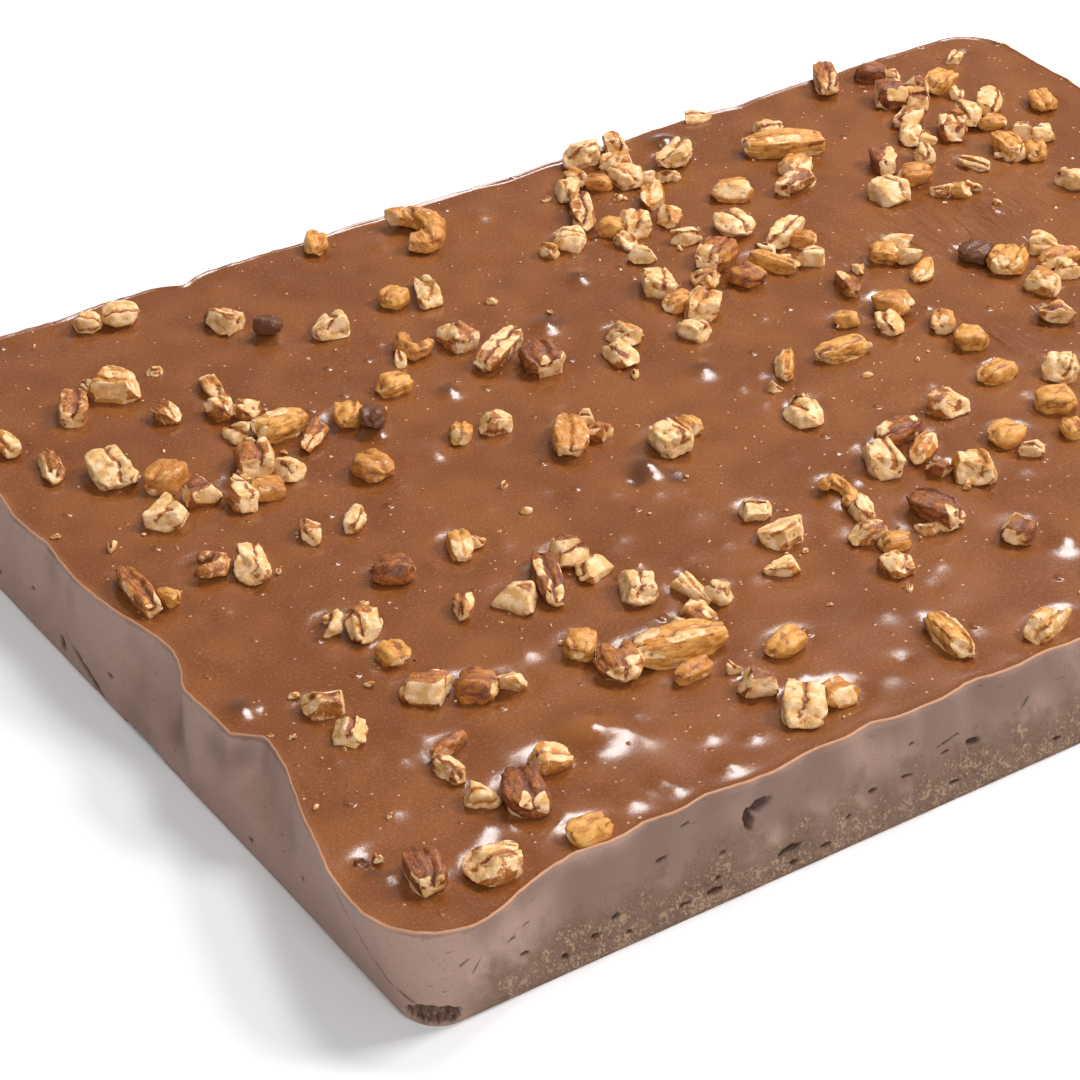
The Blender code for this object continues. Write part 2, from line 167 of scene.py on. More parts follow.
class Tree:
    """The node tree of one material, from its coordinates to its Principled shader."""

    def __init__(self, name: str) -> None:
        """Starts a material with a Principled shader."""
        self.material = bpy.data.materials.new(name)
        self.material.use_nodes = True
        self.nodes = self.material.node_tree.nodes
        self.links = self.material.node_tree.links
        self.shader = self.nodes["Principled BSDF"]
        self.point = self.add("ShaderNodeTexCoord", output="Object")

    def feed(self, socket: bpy.types.NodeSocket, value: Value) -> None:
        """Links a signal to a socket, or sets a constant on it."""
        if isinstance(value, Signal):
            self.links.new(value.socket, socket)
        elif isinstance(value, tuple) and len(value) == 3 and socket.type == "RGBA":
            socket.default_value = (*value, 1.0)
        else:
            socket.default_value = value

    def add(
        self,
        kind: str,
        settings: dict | None = None,
        inputs: dict | None = None,
        output: str | int = 0,
    ) -> Signal:
        """Adds a node.

        Args:
            kind: the node's type.
            settings: its properties, set first. "stops" holds a ramp's places and colours.
            inputs: values or signals for its sockets, by name or number.
            output: the socket that the signal comes from.

        Returns:
            The signal of that output.
        """
        node = self.nodes.new(kind)
        for name, value in (settings or {}).items():
            if name == "stops":
                stops = node.color_ramp.elements
                while len(stops) < len(value):
                    stops.new(0.5)
                for stop, (place, colour) in zip(stops, value):
                    stop.position = place
                    stop.color = (*colour, 1.0)
            else:
                setattr(node, name, value)
        for name, value in (inputs or {}).items():
            self.feed(node.inputs[name], value)
        return Signal(self, node.outputs[output])

    def maths(self, operation: str, *values: float | Signal) -> Signal:
        """A Math node of values."""
        return self.add("ShaderNodeMath", {"operation": operation}, dict(enumerate(values)))

    def blend(self, share: float | Signal, a: Value, b: Value) -> Signal:
        """A colour that goes from a to b with share."""
        return self.add("ShaderNodeMix", {"data_type": "RGBA"}, {0: share, 6: a, 7: b}, output=2)

    def between(self, share: Signal, a: Value, b: Value) -> Signal:
        """A number that goes from a to b with share."""
        return self.add("ShaderNodeMix", {}, {0: share, 2: a, 3: b})

    def scaled(self, point: Signal, scale: Triple) -> Signal:
        """A point whose three coordinates are each multiplied."""
        settings = {"operation": "MULTIPLY"}
        return self.add("ShaderNodeVectorMath", settings, {0: point, 1: scale})

    def noise(
        self,
        size: float,
        detail: float = 2.0,
        roughness: float = 0.5,
        distortion: float = 0.0,
        point: Signal | None = None,
    ) -> Signal:
        """Noise from 0 to 1 about 0.5.

        Args:
            size: the length of its features, in millimetres.
            detail: how many finer layers it has.
            roughness: how strong the finer layers are.
            distortion: how far it is bent.
            point: where it is read, or the object's own coordinates.

        Returns:
            The noise's signal.
        """
        inputs = {
            "Vector": point or self.point,
            "Scale": 1.0 / (size * MM),
            "Detail": detail,
            "Roughness": roughness,
            "Distortion": distortion,
        }
        return self.add("ShaderNodeTexNoise", {}, inputs)

    def cells(self, size: float) -> tuple[Signal, Signal]:
        """Scattered cells.

        Args:
            size: how far apart they are, in millimetres.

        Returns:
            The distance to the nearest cell's centre, in sizes, and a number of that cell's own.
        """
        node = self.nodes.new("ShaderNodeTexVoronoi")
        self.feed(node.inputs["Vector"], self.point)
        self.feed(node.inputs["Scale"], 1.0 / (size * MM))
        colour = Signal(self, node.outputs["Color"])
        number = self.add("ShaderNodeSeparateColor", {}, {0: colour})
        return Signal(self, node.outputs["Distance"]), number

    def attribute(self, name: str, output: str = "Fac") -> Signal:
        """A value that the mesh carries at each point."""
        return self.add("ShaderNodeAttribute", {"attribute_name": name}, output=output)

    def bump(self, height: Signal, depth: float) -> Signal:
        """The normal of a relief, in which a height of 1 stands for so many millimetres."""
        return self.add("ShaderNodeBump", {}, {"Height": height, "Distance": depth * MM, "Strength": 1.0})

    def finish(self, **sockets: Value) -> bpy.types.Material:
        """Feeds the shader's sockets, whose names have underscores here, and gives the material."""
        for name, value in sockets.items():
            self.feed(self.shader.inputs[name.replace("_", " ")], value)
        return self.material


@dataclass(frozen=True)
class FudgeFinish:
    """Milk-brown fudge: a glossy top, a thin translucent lip and walls with a dull grey bloom."""

    top: Colour = (0.176, 0.053, 0.012)
    top_pale: Colour = (0.222, 0.071, 0.018)
    speck: Colour = (0.56, 0.28, 0.15)
    caramel: Colour = (0.30, 0.105, 0.022)
    wet_and_shade: Colour = (0.075, 0.026, 0.012)
    bloom: Colour = (0.345, 0.215, 0.168)
    bloom_dark: Colour = (0.190, 0.110, 0.083)
    crumb: Colour = (0.47, 0.295, 0.175)
    crumb_base: Colour = (0.190, 0.105, 0.067)
    # Painted light: the lip's lighter orange stands in for light shining through the thin edge
    lip: Colour = (0.54, 0.255, 0.120)
    # Painted shade deep in the air holes and the broken corner
    pit: Colour = (0.050, 0.018, 0.010)

    def make(self) -> bpy.types.Material:
        """Builds the material."""
        tree = Tree("fudge")
        top = tree.attribute("top").step(0.35, 0.65)
        rim = tree.attribute("rim")
        pit = tree.attribute("pit")
        cloud = tree.attribute("cloud")
        stain = tree.attribute("stain")
        sand = tree.noise(0.75, 2.0, 0.65)

        # The top: slow changes of colour, small pale specks, the caramel stain over a nut, and painted
        # shade and dark reflection on the domes and pits over buried nuts
        colour = tree.blend(cloud.step(0.2, 0.8), self.top, self.top_pale)
        far, number = tree.cells(5.0)
        speck = far.step(0.11, 0.055) * number.step(0.3, 0.5)
        colour = tree.blend(speck * 0.8, colour, self.speck)
        colour = tree.blend(sand.step(0.52, 0.8) * 0.26, colour, self.speck)
        colour = tree.blend(sand.step(0.48, 0.25) * 0.42, colour, self.wet_and_shade)
        colour = tree.blend(stain.step(0.0, 1.0), colour, self.caramel)
        # Painted shade and dark reflection on the domes and pits over buried nuts
        colour = tree.blend(stain.step(0.0, -1.0) * 0.8, colour, self.wet_and_shade)

        # The walls: a grey bloom in faint upright streaks above, the streaks partly painted light and shade
        # like that of the flutes, and bare crumbly fudge at the foot
        streak = tree.noise(9.0, 1.0, 0.5, point=tree.scaled(tree.point, (1.0, 1.0, 0.2)))
        # The cloud carries the painted light that makes the left wall's bloom paler than the other walls'
        shade = cloud * 0.7 + streak * 0.3
        # Painted light and shade: the streaks lighten and darken the bloom in bands like the flutes'
        bloom = tree.blend(shade.step(0.25, 0.7), self.bloom_dark, self.bloom)
        bloom = tree.blend(sand.step(0.52, 0.72) * 0.45, bloom, self.bloom_dark)
        crumbly = tree.attribute("crumbly")
        grit = tree.noise(0.9, 3.0, 0.75) * 0.65 + tree.noise(3.2, 2.0, 0.6) * 0.35
        bare = crumbly - 1.0
        grain = (grit + bare * 0.2).step(0.51, 0.58)
        hole = (grit - bare * 0.2).step(0.43, 0.36)
        scratch = tree.noise(1.5, 1.0, 0.5, point=tree.scaled(tree.point, (0.4, 0.4, 1.6))).step(0.27, 0.21)
        wall = tree.blend(crumbly.step(0.0, 0.8) * 0.8, bloom, self.crumb_base)
        wall = tree.blend(grain * 0.8, wall, self.crumb)
        # Painted shade in small pores and slits of the walls
        wall = tree.blend(hole.largest(scratch) * 0.5, wall, self.wet_and_shade)
        # Painted shade inside the carved holes and the broken corner
        wall = tree.blend(pit * 0.92, wall, self.pit)

        colour = tree.blend(top, wall, colour)
        # Painted light on the lip, for light shining through its thin edge
        colour = tree.blend(rim * 0.9, colour, self.lip)

        rough_top = 0.17 + cloud * 0.05 + speck * 0.2 - stain.math("ABSOLUTE") * 0.06
        rough = tree.between(top, 0.58 + crumbly * 0.2, rough_top)
        rough = rough.largest(rim * 0.55)

        # Small grains raise the walls; low blisters and sand raise the top
        near, number = tree.cells(13.0)
        blister = near.step(0.17, 0.0) * number.step(0.5, 0.52) * 1.5
        near, number = tree.cells(6.0)
        blister = blister + near.step(0.16, 0.0) * number.step(0.62, 0.64) * 0.7
        folds = tree.noise(3.4, 1.0, 0.5, 0.4, tree.scaled(tree.point, (1.0, 0.22, 1.0)))
        fine_top = sand * 0.05 + blister + folds * tree.attribute("wrinkled") * 3.6
        rough_wall = sand * 0.4 + grit * crumbly * 5.0
        relief = tree.between(top, rough_wall, fine_top)
        normal = tree.bump(relief, 0.45)
        return tree.finish(Base_Color=colour, Roughness=rough, Normal=normal, Specular_IOR_Level=0.45)


@dataclass(frozen=True)
class PecanFinish:
    """Chopped pecan: ridged skin from golden to nearly black-brown, and creamy broken faces."""

    skins: tuple = (
        (0.0, (0.66, 0.330, 0.080)),
        (0.2, (0.50, 0.185, 0.030)),
        (0.48, (0.270, 0.075, 0.018)),
        (0.76, (0.155, 0.042, 0.013)),
        (1.0, (0.072, 0.021, 0.010)),
    )
    flesh: Colour = (0.66, 0.365, 0.120)
    flesh_pale: Colour = (0.83, 0.555, 0.31)
    # Toasted edges of the flesh, and painted shade in the pits of the broken flesh
    toasted_flesh_and_shade: Colour = (0.46, 0.170, 0.032)
    # Partly the dark skin left in grooves, partly painted shade in the deepest hollows
    groove: Colour = (0.105, 0.028, 0.012)
    coat: Colour = (0.135, 0.048, 0.022)

    def make(self) -> bpy.types.Material:
        """Builds the material."""
        tree = Tree("pecan")
        tone = tree.attribute("tone")
        bare = tree.attribute("bare")
        hollow = tree.attribute("hollow")
        grain = tree.attribute("grain", "Vector")
        streak = tree.noise(1.2, 2.0, 0.6, point=tree.scaled(grain, (0.2 * MM, MM, MM)))
        patch = tree.noise(3.0, 2.0, 0.6)
        fine = tree.noise(0.5, 1.0, 0.6)
        coated = tone.step(1.2, 1.3)
        # The skin darkens in its hollows: partly the darker skin of folds and grooves, partly painted shade
        depth = hollow * (0.2 + tone.smallest(1.0) * 0.7)
        skin_tone = tone + (streak - 0.5) * 0.45 + (patch - 0.5) * 0.7 + depth * 0.6 - 0.06
        skin = tree.add("ShaderNodeValToRGB", {"stops": self.skins}, {0: skin_tone})
        flesh = tree.blend(patch.step(0.38, 0.62), self.flesh, self.flesh_pale)
        # Painted shade in the pits of the broken flesh
        flesh = tree.blend(hollow.step(0.3, 0.95) * 0.7, flesh, self.toasted_flesh_and_shade)
        edge = bare + (patch - 0.5) * 1.15 + (fine - 0.5) * 0.35
        naked = edge.step(0.44, 0.56)
        rind = edge.step(0.36, 0.48) * (1.0 - edge.step(0.52, 0.66))
        colour = tree.blend(naked, skin, flesh)
        colour = tree.blend(rind * 0.6, colour, self.toasted_flesh_and_shade)
        colour = tree.blend(fine.step(0.58, 0.7) * 0.2, colour, self.flesh_pale)
        # The deepest hollows: the dark skin of the grooves and painted shade
        colour = tree.blend(hollow.step(0.8, 1.0) * 0.6, colour, self.groove)
        colour = tree.blend(coated, colour, self.coat)
        rough = (0.46 + (fine - 0.5) * 0.2) * (1.0 - coated * 0.5)
        normal = tree.bump(fine, 0.16)
        return tree.finish(Base_Color=colour, Roughness=rough, Normal=normal, Specular_IOR_Level=0.3)


# ---------------------------------------------------------------------------------------------------
# Meshes and pieces
# ---------------------------------------------------------------------------------------------------


def store(mesh: bpy.types.Mesh, name: str, values: np.ndarray) -> None:
    """Keeps one number for each point of a mesh, for its material."""
    kept = mesh.attributes.new(name, "FLOAT", "POINT")
    kept.data.foreach_set("value", values.astype(np.float32))


def add_piece(
    name: str, mesh: bpy.types.Mesh, finish: bpy.types.Material
) -> bpy.types.Object:
    """Adds a finished piece to the scene, riding on the slab's body.

    Args:
        name: the piece's name.
        mesh: its mesh, in the frame.
        finish: its material.

    Returns:
        The new object.
    """
    mesh.materials.clear()
    mesh.materials.append(finish)
    piece = bpy.data.objects.new(name, mesh)
    bpy.context.scene.collection.objects.link(piece)
    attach(piece, BODY)
    log.info("%s: %d faces", name, len(mesh.polygons))
    return piece


# ---------------------------------------------------------------------------------------------------
# The slab
# ---------------------------------------------------------------------------------------------------


class Side(Enum):
    """A side of the slab, going round anticlockwise."""

    FRONT = 0
    RIGHT = 1
    BACK = 2
    LEFT = 3


@dataclass
class Corner:
    """A corner of the slab: where it is, its radius at the lip, and its lean on its two sides."""

    across: Side
    along: Side
    radius: float
    lean_across: float
    lean_along: float


@dataclass
class Outline:
    """The walls' shape: how far they stand in from the foot line at each place and height."""

    foot_radius: float = 11.0
    reach: float = 30.0
    lean: dict = field(
        default_factory=lambda: {Side.FRONT: 9.0, Side.RIGHT: 9.0, Side.BACK: 6.5, Side.LEFT: 4.0}
    )
    corners: tuple = (
        Corner(Side.FRONT, Side.LEFT, 20.0, 0.5, -5.0),
        Corner(Side.FRONT, Side.RIGHT, 20.0, 0.5, -5.0),
        Corner(Side.BACK, Side.RIGHT, 27.0, 6.5, 9.0),
        Corner(Side.BACK, Side.LEFT, 27.0, 6.5, 4.0),
    )
    flare: dict = field(
        default_factory=lambda: {
            Side.FRONT: (14.0, 48.0),
            Side.RIGHT: (28.0, 74.0),
            Side.BACK: (14.0, 48.0),
            Side.LEFT: (28.0, 74.0),
        }
    )
    flutes: dict = field(
        default_factory=lambda: {
            Side.FRONT: (
                (47, 1.0, 6), (68, 1.2, 6), (87, 1.6, 6), (122, 1.2, 7), (142, 1.7, 6),
                (177, 1.6, 7), (203, 0.9, 7), (228, 1.3, 6), (252, 1.0, 7), (281, 1.6, 7),
                (305, 1.1, 6), (334, 1.5, 7), (362, 1.2, 6), (392, 1.4, 7),
            ),
            Side.RIGHT: (
                (62, 1.3, 7), (94, 1.7, 8), (133, 1.2, 7), (171, 1.6, 8), (214, 1.1, 7), (250, 1.4, 7),
            ),
            Side.BACK: (
                (60, 1.0, 8), (104, 3.4, 6), (148, 1.0, 8), (181, 0.8, 7), (232, 1.2, 8),
                (280, 0.9, 8), (330, 1.2, 8), (372, 1.0, 7),
            ),
            Side.LEFT: ((122, -1.2, 5), (205, 1.0, 8), (236, 1.4, 8), (270, 1.1, 8)),
        }
    )
    flute_slant: float = 0.45
    flute_rise: float = 0.5
    flute_depth: float = 1.1  # what the flutes' depths are multiplied by
    hollows: tuple = ((60, 96, 104, 7.0, 3, 16), (120, 147, 184, 5.6, 4, 18))
    ledge_rise: float = 6.0
    foot_round: float = 0.9
    scallop: float = 0.38  # how far the lip wanders

    def side_lean(self, side: Side, along: np.ndarray) -> np.ndarray:
        """How far the lip stands in at each place, with the flare of the side's two corners."""
        across = side in (Side.FRONT, Side.BACK)
        lean = np.full(along.shape, self.lean[side])
        for corner in self.corners:
            if side not in (corner.across, corner.along):
                continue
            if across:
                distance = along if corner.along is Side.LEFT else LENGTH - along
                at_corner = corner.lean_across
            else:
                distance = along if corner.across is Side.FRONT else WIDTH - along
                at_corner = corner.lean_along
            lean += (at_corner - self.lean[side]) * (1.0 - smooth_step(*self.flare[side], distance))
        return lean

    def hollow(self, along: np.ndarray, height: np.ndarray) -> np.ndarray:
        """How far the two folds of the lining press the left wall in."""
        depth = np.zeros(along.shape)
        for start, deepest, end, most, low, high in self.hollows:
            share = smooth_step(start, deepest, along) * (1.0 - smooth_step(deepest, end, along))
            ledge = mix(low, high, np.clip((along - start) / (end - start), 0.0, 1.0))
            depth += most * share * smooth_step(0.0, 1.0 + self.ledge_rise, height - ledge + 1.0)
        return depth

    def inset(self, side: Side, along: np.ndarray, level: np.ndarray) -> np.ndarray:
        """How far the wall stands in from the foot line.

        Args:
            side: which wall.
            along: places along it.
            level: 0 at the foot, 1 at the lip.

        Returns:
            One distance for each place.
        """
        height = level * THICKNESS
        depth = self.side_lean(side, along) * level
        slide = self.flute_slant * (height - THICKNESS / 2)
        for place, most, half_width in self.flutes[side]:
            rise = mix(self.flute_rise, 1.0, level) * np.minimum(1.0, 4 * level)
            depth += self.flute_depth * most * bell(along - place - slide, half_width) * rise
        if side is Side.LEFT:
            depth += self.hollow(along, height)
        return depth + self.foot_round * (1.0 - smooth_step(0.0, 1.8, height))

    def wander(self, wall: np.ndarray, level: np.ndarray) -> np.ndarray:
        """The small scallops of the lip and the walls' slight unevenness."""
        points = np.column_stack([wall, level * 0.4 * THICKNESS])
        slow, quick = noise_at(points, 9.0, 5.3), noise_at(points, 2.9, 8.7)
        near_lip = smooth_step(0.86, 1.0, level)
        slight = np.minimum(1.0, 4 * level) * 0.30 * noise_at(points, 17.0, 5.5)
        return slight + self.scallop * near_lip * (slow + 0.8 * quick)

    def place(self, flat: np.ndarray) -> tuple[np.ndarray, np.ndarray]:
        """Moves points of the plain block onto the slab.

        Args:
            flat: a row for each point of the block, whose sides stand on the foot line.

        Returns:
            The moved points, and each one's distance in from the wall's face.
        """
        x, y, z = flat.T
        level = z / THICKNESS
        gaps = np.stack([y, LENGTH - x, WIDTH - y, x])
        nearest = gaps.argmin(axis=0)
        fade = np.clip(1.0 - gaps.min(axis=0) / self.reach, 0.0, 1.0)
        moved = flat.copy()
        depth = np.zeros(len(flat))
        wall = flat[:, :2].copy()
        inward = np.zeros((len(flat), 2))
        directions = {Side.FRONT: (0, 1), Side.RIGHT: (-1, 0), Side.BACK: (0, -1), Side.LEFT: (1, 0)}
        edges = {Side.FRONT: (1, 0.0), Side.RIGHT: (0, LENGTH), Side.BACK: (1, WIDTH), Side.LEFT: (0, 0.0)}
        for side in Side:
            chosen = nearest == side.value
            along = (x if side in (Side.FRONT, Side.BACK) else y)[chosen]
            depth[chosen] = self.inset(side, along, level[chosen])
            inward[chosen] = directions[side]
            axis, edge = edges[side]
            wall[chosen, axis] = edge
        for corner in self.corners:
            self.round_off(corner, flat, gaps, moved, wall, depth, inward, fade)
        shift = (depth + self.wander(wall, level)) * fade
        moved[:, :2] += inward * shift[:, None]
        inner = self.reach * (1.0 - fade) * (1.0 - depth / self.reach)
        return moved, inner

    def round_off(
        self,
        corner: Corner,
        flat: np.ndarray,
        gaps: np.ndarray,
        moved: np.ndarray,
        wall: np.ndarray,
        depth: np.ndarray,
        inward: np.ndarray,
        fade: np.ndarray,
    ) -> None:
        """Bends the square corner of the block round its radius.

        Args:
            corner: the corner.
            flat: the block's points.
            gaps: each point's distances from the four sides.
            moved: the points' places in plan, changed here.
            wall: the nearest place of the foot line, changed here.
            depth: the walls' inset, changed here.
            inward: the directions into the slab, changed here.
            fade: 1 at the wall and 0 where the wall's shape ends, changed here.
        """
        reach = self.reach
        gap_across, gap_along = gaps[corner.across.value], gaps[corner.along.value]
        chosen = (gap_across < reach) & (gap_along < reach)
        sign_x = 1.0 if corner.along is Side.RIGHT else -1.0
        sign_y = 1.0 if corner.across is Side.BACK else -1.0
        level = flat[chosen, 2] / THICKNESS
        up = 1.0 - gap_across[chosen] / reach
        over = 1.0 - gap_along[chosen] / reach
        far = np.maximum(np.maximum(up, over), 1e-9)
        ratio = np.minimum(up, over) / far
        radius = mix(self.foot_radius, corner.radius, level) / reach
        straight = 1.0 - radius
        run = ratio * (straight + radius * math.pi / 4)
        angle = np.clip((run - straight) / radius, 0.0, math.pi / 4)
        bent = run > straight
        main = np.where(bent, straight + radius * np.cos(angle), 1.0)
        other = np.where(bent, straight + radius * np.sin(angle), run)
        faces_across = up >= over
        part_y = np.where(faces_across, main, other)
        part_x = np.where(faces_across, other, main)
        turn = np.where(faces_across, angle, math.pi / 2 - angle)
        middle_x = LENGTH - reach if sign_x > 0 else reach
        middle_y = WIDTH - reach if sign_y > 0 else reach
        wall_x = middle_x + sign_x * reach * part_x
        wall_y = middle_y + sign_y * reach * part_y
        end = radius * reach
        along_x = np.clip(wall_x, end, LENGTH - end)
        along_y = np.clip(wall_y, end, WIDTH - end)
        here = self.inset(corner.across, along_x, level)
        there = self.inset(corner.along, along_y, level)
        depth[chosen] = mix(here, there, turn / (math.pi / 2))
        moved[chosen, 0] = middle_x + (wall_x - middle_x) * far
        moved[chosen, 1] = middle_y + (wall_y - middle_y) * far
        wall[chosen] = np.column_stack([wall_x, wall_y])
        inward[chosen] = np.column_stack([-sign_x * np.sin(turn), -sign_y * np.cos(turn)])
        fade[chosen] = far


@dataclass
class FudgeSlab:
    """The poured slab, from its flat foot to its rippled top."""

    outline: Outline
    cell: float = 2.3  # between the top's points
    rim_rows: tuple = (0.0, 0.35, 0.8, 1.4, 2.2, 3.2, 4.8)  # the first rows in from the lip
    wall_rows: tuple = (29.6, 29.0, 28.0, 26.0, 23.0, 20.0, 17.0, 14.0, 11.0, 8.0, 5.0, 2.5, 0.8, 0.0)
    lip_height: float = 0.8
    lip_ripple: float = 0.25
    lip_round: float = 0.22  # how far the lip's outer edge falls
    swell: float = 0.5
    swell_length: float = 55.0
    # Nuts under the top raise it: the place, the radius and the height of each
    bumps: tuple = (
        (85, 50, 12, 3.5), (117, 279, 6, 2.8), (194, 233, 7, 2.6), (147, 217, 6, 2.2), (116, 213, 8, 3.2),
        (220, 184, 8, 1.8), (220, 253, 7, 1.8), (298, 313, 9, 3.2), (172, 147, 9, 2.8), (12, 111, 8, 1.8),
        (124, 190, 7, 1.8), (142, 96, 7, 1.4), (178, 307, 7, 1.2), (217, 306, 7, 1.6), (254, 50, 9, 1.4),
        (330, 90, 8, 2.0), (372, 132, 9, 2.2), (300, 40, 8, 1.6), (405, 70, 9, 2.4), (430, 190, 8, 1.8),
    )
    bump_share: float = 0.62
    # Small swells and dimples: the place, the half width and the height of each
    dimples: tuple = (
        (134, 235, 4.5, 0.6), (105, 165, 5, 0.7), (122, 158, 4, 0.6), (48, 145, 4.5, 0.7),
        (20, 130, 4, 0.6), (30, 130, 4, 0.6), (177, 137, 3, -0.9), (166, 143, 2.6, -1.2),
        (172, 121, 5, 0.6), (262, 157, 5, 0.7), (107, 16, 5, 0.5), (77, 26, 4.5, 0.6),
        (168, 26, 5, 0.6), (186, 50, 5, 0.6), (203, 30, 4, 0.5), (188, 12, 5, 0.6), (203, 13, 4, 0.5),
        (250, 50, 4.5, 0.6), (295, 195, 4.5, 0.6), (16, 106, 2.2, -0.9), (44, 120, 4, 0.5),
        (60, 60, 5, 0.5), (66, 96, 3.5, 0.5), (95, 40, 4, 0.7), (74, 52, 3, -0.5), (140, 120, 5, 0.5),
        (150, 108, 3, 0.6), (214, 130, 5, 0.5), (236, 190, 4, 0.6), (60, 180, 4, 0.5),
        (90, 180, 4, -0.5), (96, 252, 4, 0.6), (205, 285, 5, 0.6), (144, 294, 4, 0.5),
        (310, 165, 6, 0.6), (325, 150, 5, -0.5), (345, 110, 5, 0.7), (380, 90, 5, 0.6),
        (360, 30, 5, 0.6), (410, 110, 5, 0.7), (5, 33, 2.2, 1.5), (8, 29, 1.7, 1.2), (5, 38, 1.8, 1.1),
        (9, 35, 1.5, -0.7), (103, 153, 3, 0.8), (115, 139, 3, 0.9), (116, 126, 3, 0.8),
        (92, 140, 3, 0.8), (141, 108, 3, 0.9), (154, 102, 3, 0.8), (146, 123, 3, 0.8),
        (155, 89, 3, 0.9), (169, 103, 3, 0.8), (110, 31, 3, 0.8), (90, 17, 3, 0.8), (93, 46, 3, 0.8),
        (44, 79, 3, 0.8), (39, 32, 3, 0.8), (36, 69, 3, 0.8), (100, 50, 3, 0.8), (59, 26, 3, 0.8),
        (139, 38, 3, 0.8),
    )
    swell_count: int = 150  # further small swells and dimples, which lie at random
    moat_reach: float = 1.9  # how far round a nut the fudge sags
    moat_depth: float = 0.5
    moat_step: float = 0.12  # how much deeper it sags from one nut to the next, five in a row
    low_corner: tuple = (58.0, 321.0, 18.0, 1.2)
    # Air holes and slits in the front and left walls: the place along it, the height, the length,
    # how tall it is, its turn in degrees, and its depth
    front_holes: tuple = (
        (105, 20, 3.2, 6.5, 0, 2.6), (109, 22.5, 7.4, 3.2, 10, 2.6), (116.5, 6.6, 9, 1.9, 5, 1.8),
        (117, 3, 2.8, 1.5, 0, 1.0), (91, 5, 5.5, 1.6, 0, 1.4), (77, 19.3, 4, 1.0, 10, 0.9),
        (86, 25.5, 4, 0.8, -5, 0.6), (60.5, 9.5, 3, 1.2, 15, 0.9), (53.8, 7, 3.2, 1.6, 0, 1.2),
        (44, 5, 2.4, 1.4, 0, 1.0), (31.5, 12, 3, 1.2, -10, 0.9), (10, 19.5, 3.6, 0.7, 25, 0.4),
        (14, 16.5, 5.5, 0.7, 55, 0.5), (27, 18.5, 4, 0.8, 5, 0.5), (33, 20, 3, 0.7, 0, 0.4),
        (82, 4.5, 4, 1.0, 0, 0.8), (93, 8, 1.8, 1.4, 0, 0.9), (95.5, 14, 2.4, 0.9, 10, 0.6),
        (145.8, 12.5, 3.2, 1.1, 10, 0.8), (157, 13, 4, 1.1, -5, 0.8), (171, 14.5, 3.6, 0.9, 0, 0.7),
        (173, 17.3, 10, 0.7, 3, 0.5), (181, 14, 4.2, 1.8, 0, 1.3), (173, 5, 4, 1.2, 0, 0.9),
        (160, 21.2, 2.2, 0.8, 0, 0.5), (200, 18.5, 5, 0.9, 35, 0.6), (209, 5, 3, 1.2, 0, 0.9),
        (64, 4, 2, 1.2, 0, 0.8), (128, 4, 5, 1.1, 0, 0.8), (137, 8, 2.6, 1.1, 20, 0.7),
        (236, 8, 4, 1.2, 5, 0.9), (262, 17, 3, 1.0, -10, 0.7), (288, 6, 5, 1.3, 0, 0.9),
        (318, 21, 4, 1.0, 15, 0.7), (343, 9, 3, 1.5, 0, 1.0), (371, 5, 4, 1.2, 5, 0.8),
        (398, 14, 3, 1.1, 0, 0.7),
    )
    left_holes: tuple = (
        (33.5, 24.5, 13, 0.8, 42, 0.5), (24, 17, 11, 0.8, 37, 0.5), (15, 12, 11, 0.8, 22, 0.5),
        (6.5, 8.6, 8, 0.8, 24, 0.5), (147, 0.8, 29, 2.4, 0, 1.8), (179, 3.6, 29, 2.4, 17, 2.0),
        (197.5, 4.5, 5, 3.4, 20, 1.8), (168, 10.5, 3.4, 1.4, 0, 0.9), (216, 13, 2.2, 1.1, 0, 0.7),
        (238, 6, 2.4, 1.2, 0, 0.8), (88, 5, 2.4, 1.0, 0, 0.6), (60, 11, 2.0, 1.0, 0, 0.5),
    )
    break_middle: tuple = (4.4, 3.6, 3.8)
    break_size: tuple = (15.0, 10.0, 6.4)
    break_reach: float = 13.0  # how far along the walls the block is finer for it
    break_top: float = 8.0  # and up to what height
    break_depth: float = 2.6
    break_roughness: float = 2.2
    # What shows through the top, with painted shade: the place, the radius, and from 1 caramel-coloured to
    # -1 dark, where the dark is painted shade and dark reflection on glossy domes and pits
    stains_and_shade: tuple = (
        (82, 52, 9.0, 0.8), (88, 41, 3.0, 0.3), (116, 279, 7, -0.8), (116, 213, 8, -0.8),
        (172, 147, 8, -0.9), (177, 139, 4.5, -1.0), (166, 144, 4.5, -1.0), (12, 111, 6, -0.8),
        (6, 33, 5.0, -0.9), (197, 234, 7, -0.9), (147, 217, 6, -0.8), (336, 188, 8, -0.9),
        (220, 184, 6, -0.7), (298, 313, 7, -0.8), (220, 253, 6, -0.7),
    )
    # Where the top has set in fine wrinkles: the place, how long and wide it is, and how strong
    wrinkles: tuple = (
        (352, 214, 40, 22, 1.0), (318, 150, 26, 14, 0.7), (230, 226, 18, 10, 0.5), (330, 60, 30, 16, 0.5),
    )

    def rows(self, length: float) -> tuple[int, np.ndarray, np.ndarray]:
        """How the top's points are spaced along one axis.

        Args:
            length: the slab's size along it.

        Returns:
            The number of cells, the numbers of the rows that are fixed, and their places.
        """
        near = np.array(self.rim_rows)
        middle = round((length - 2 * near[-1]) / self.cell)
        count = middle + 2 * (len(near) - 1)
        numbers = np.concatenate([np.arange(len(near)), count - np.arange(len(near))[::-1]])
        return count, numbers, np.concatenate([near, length - near[::-1]])

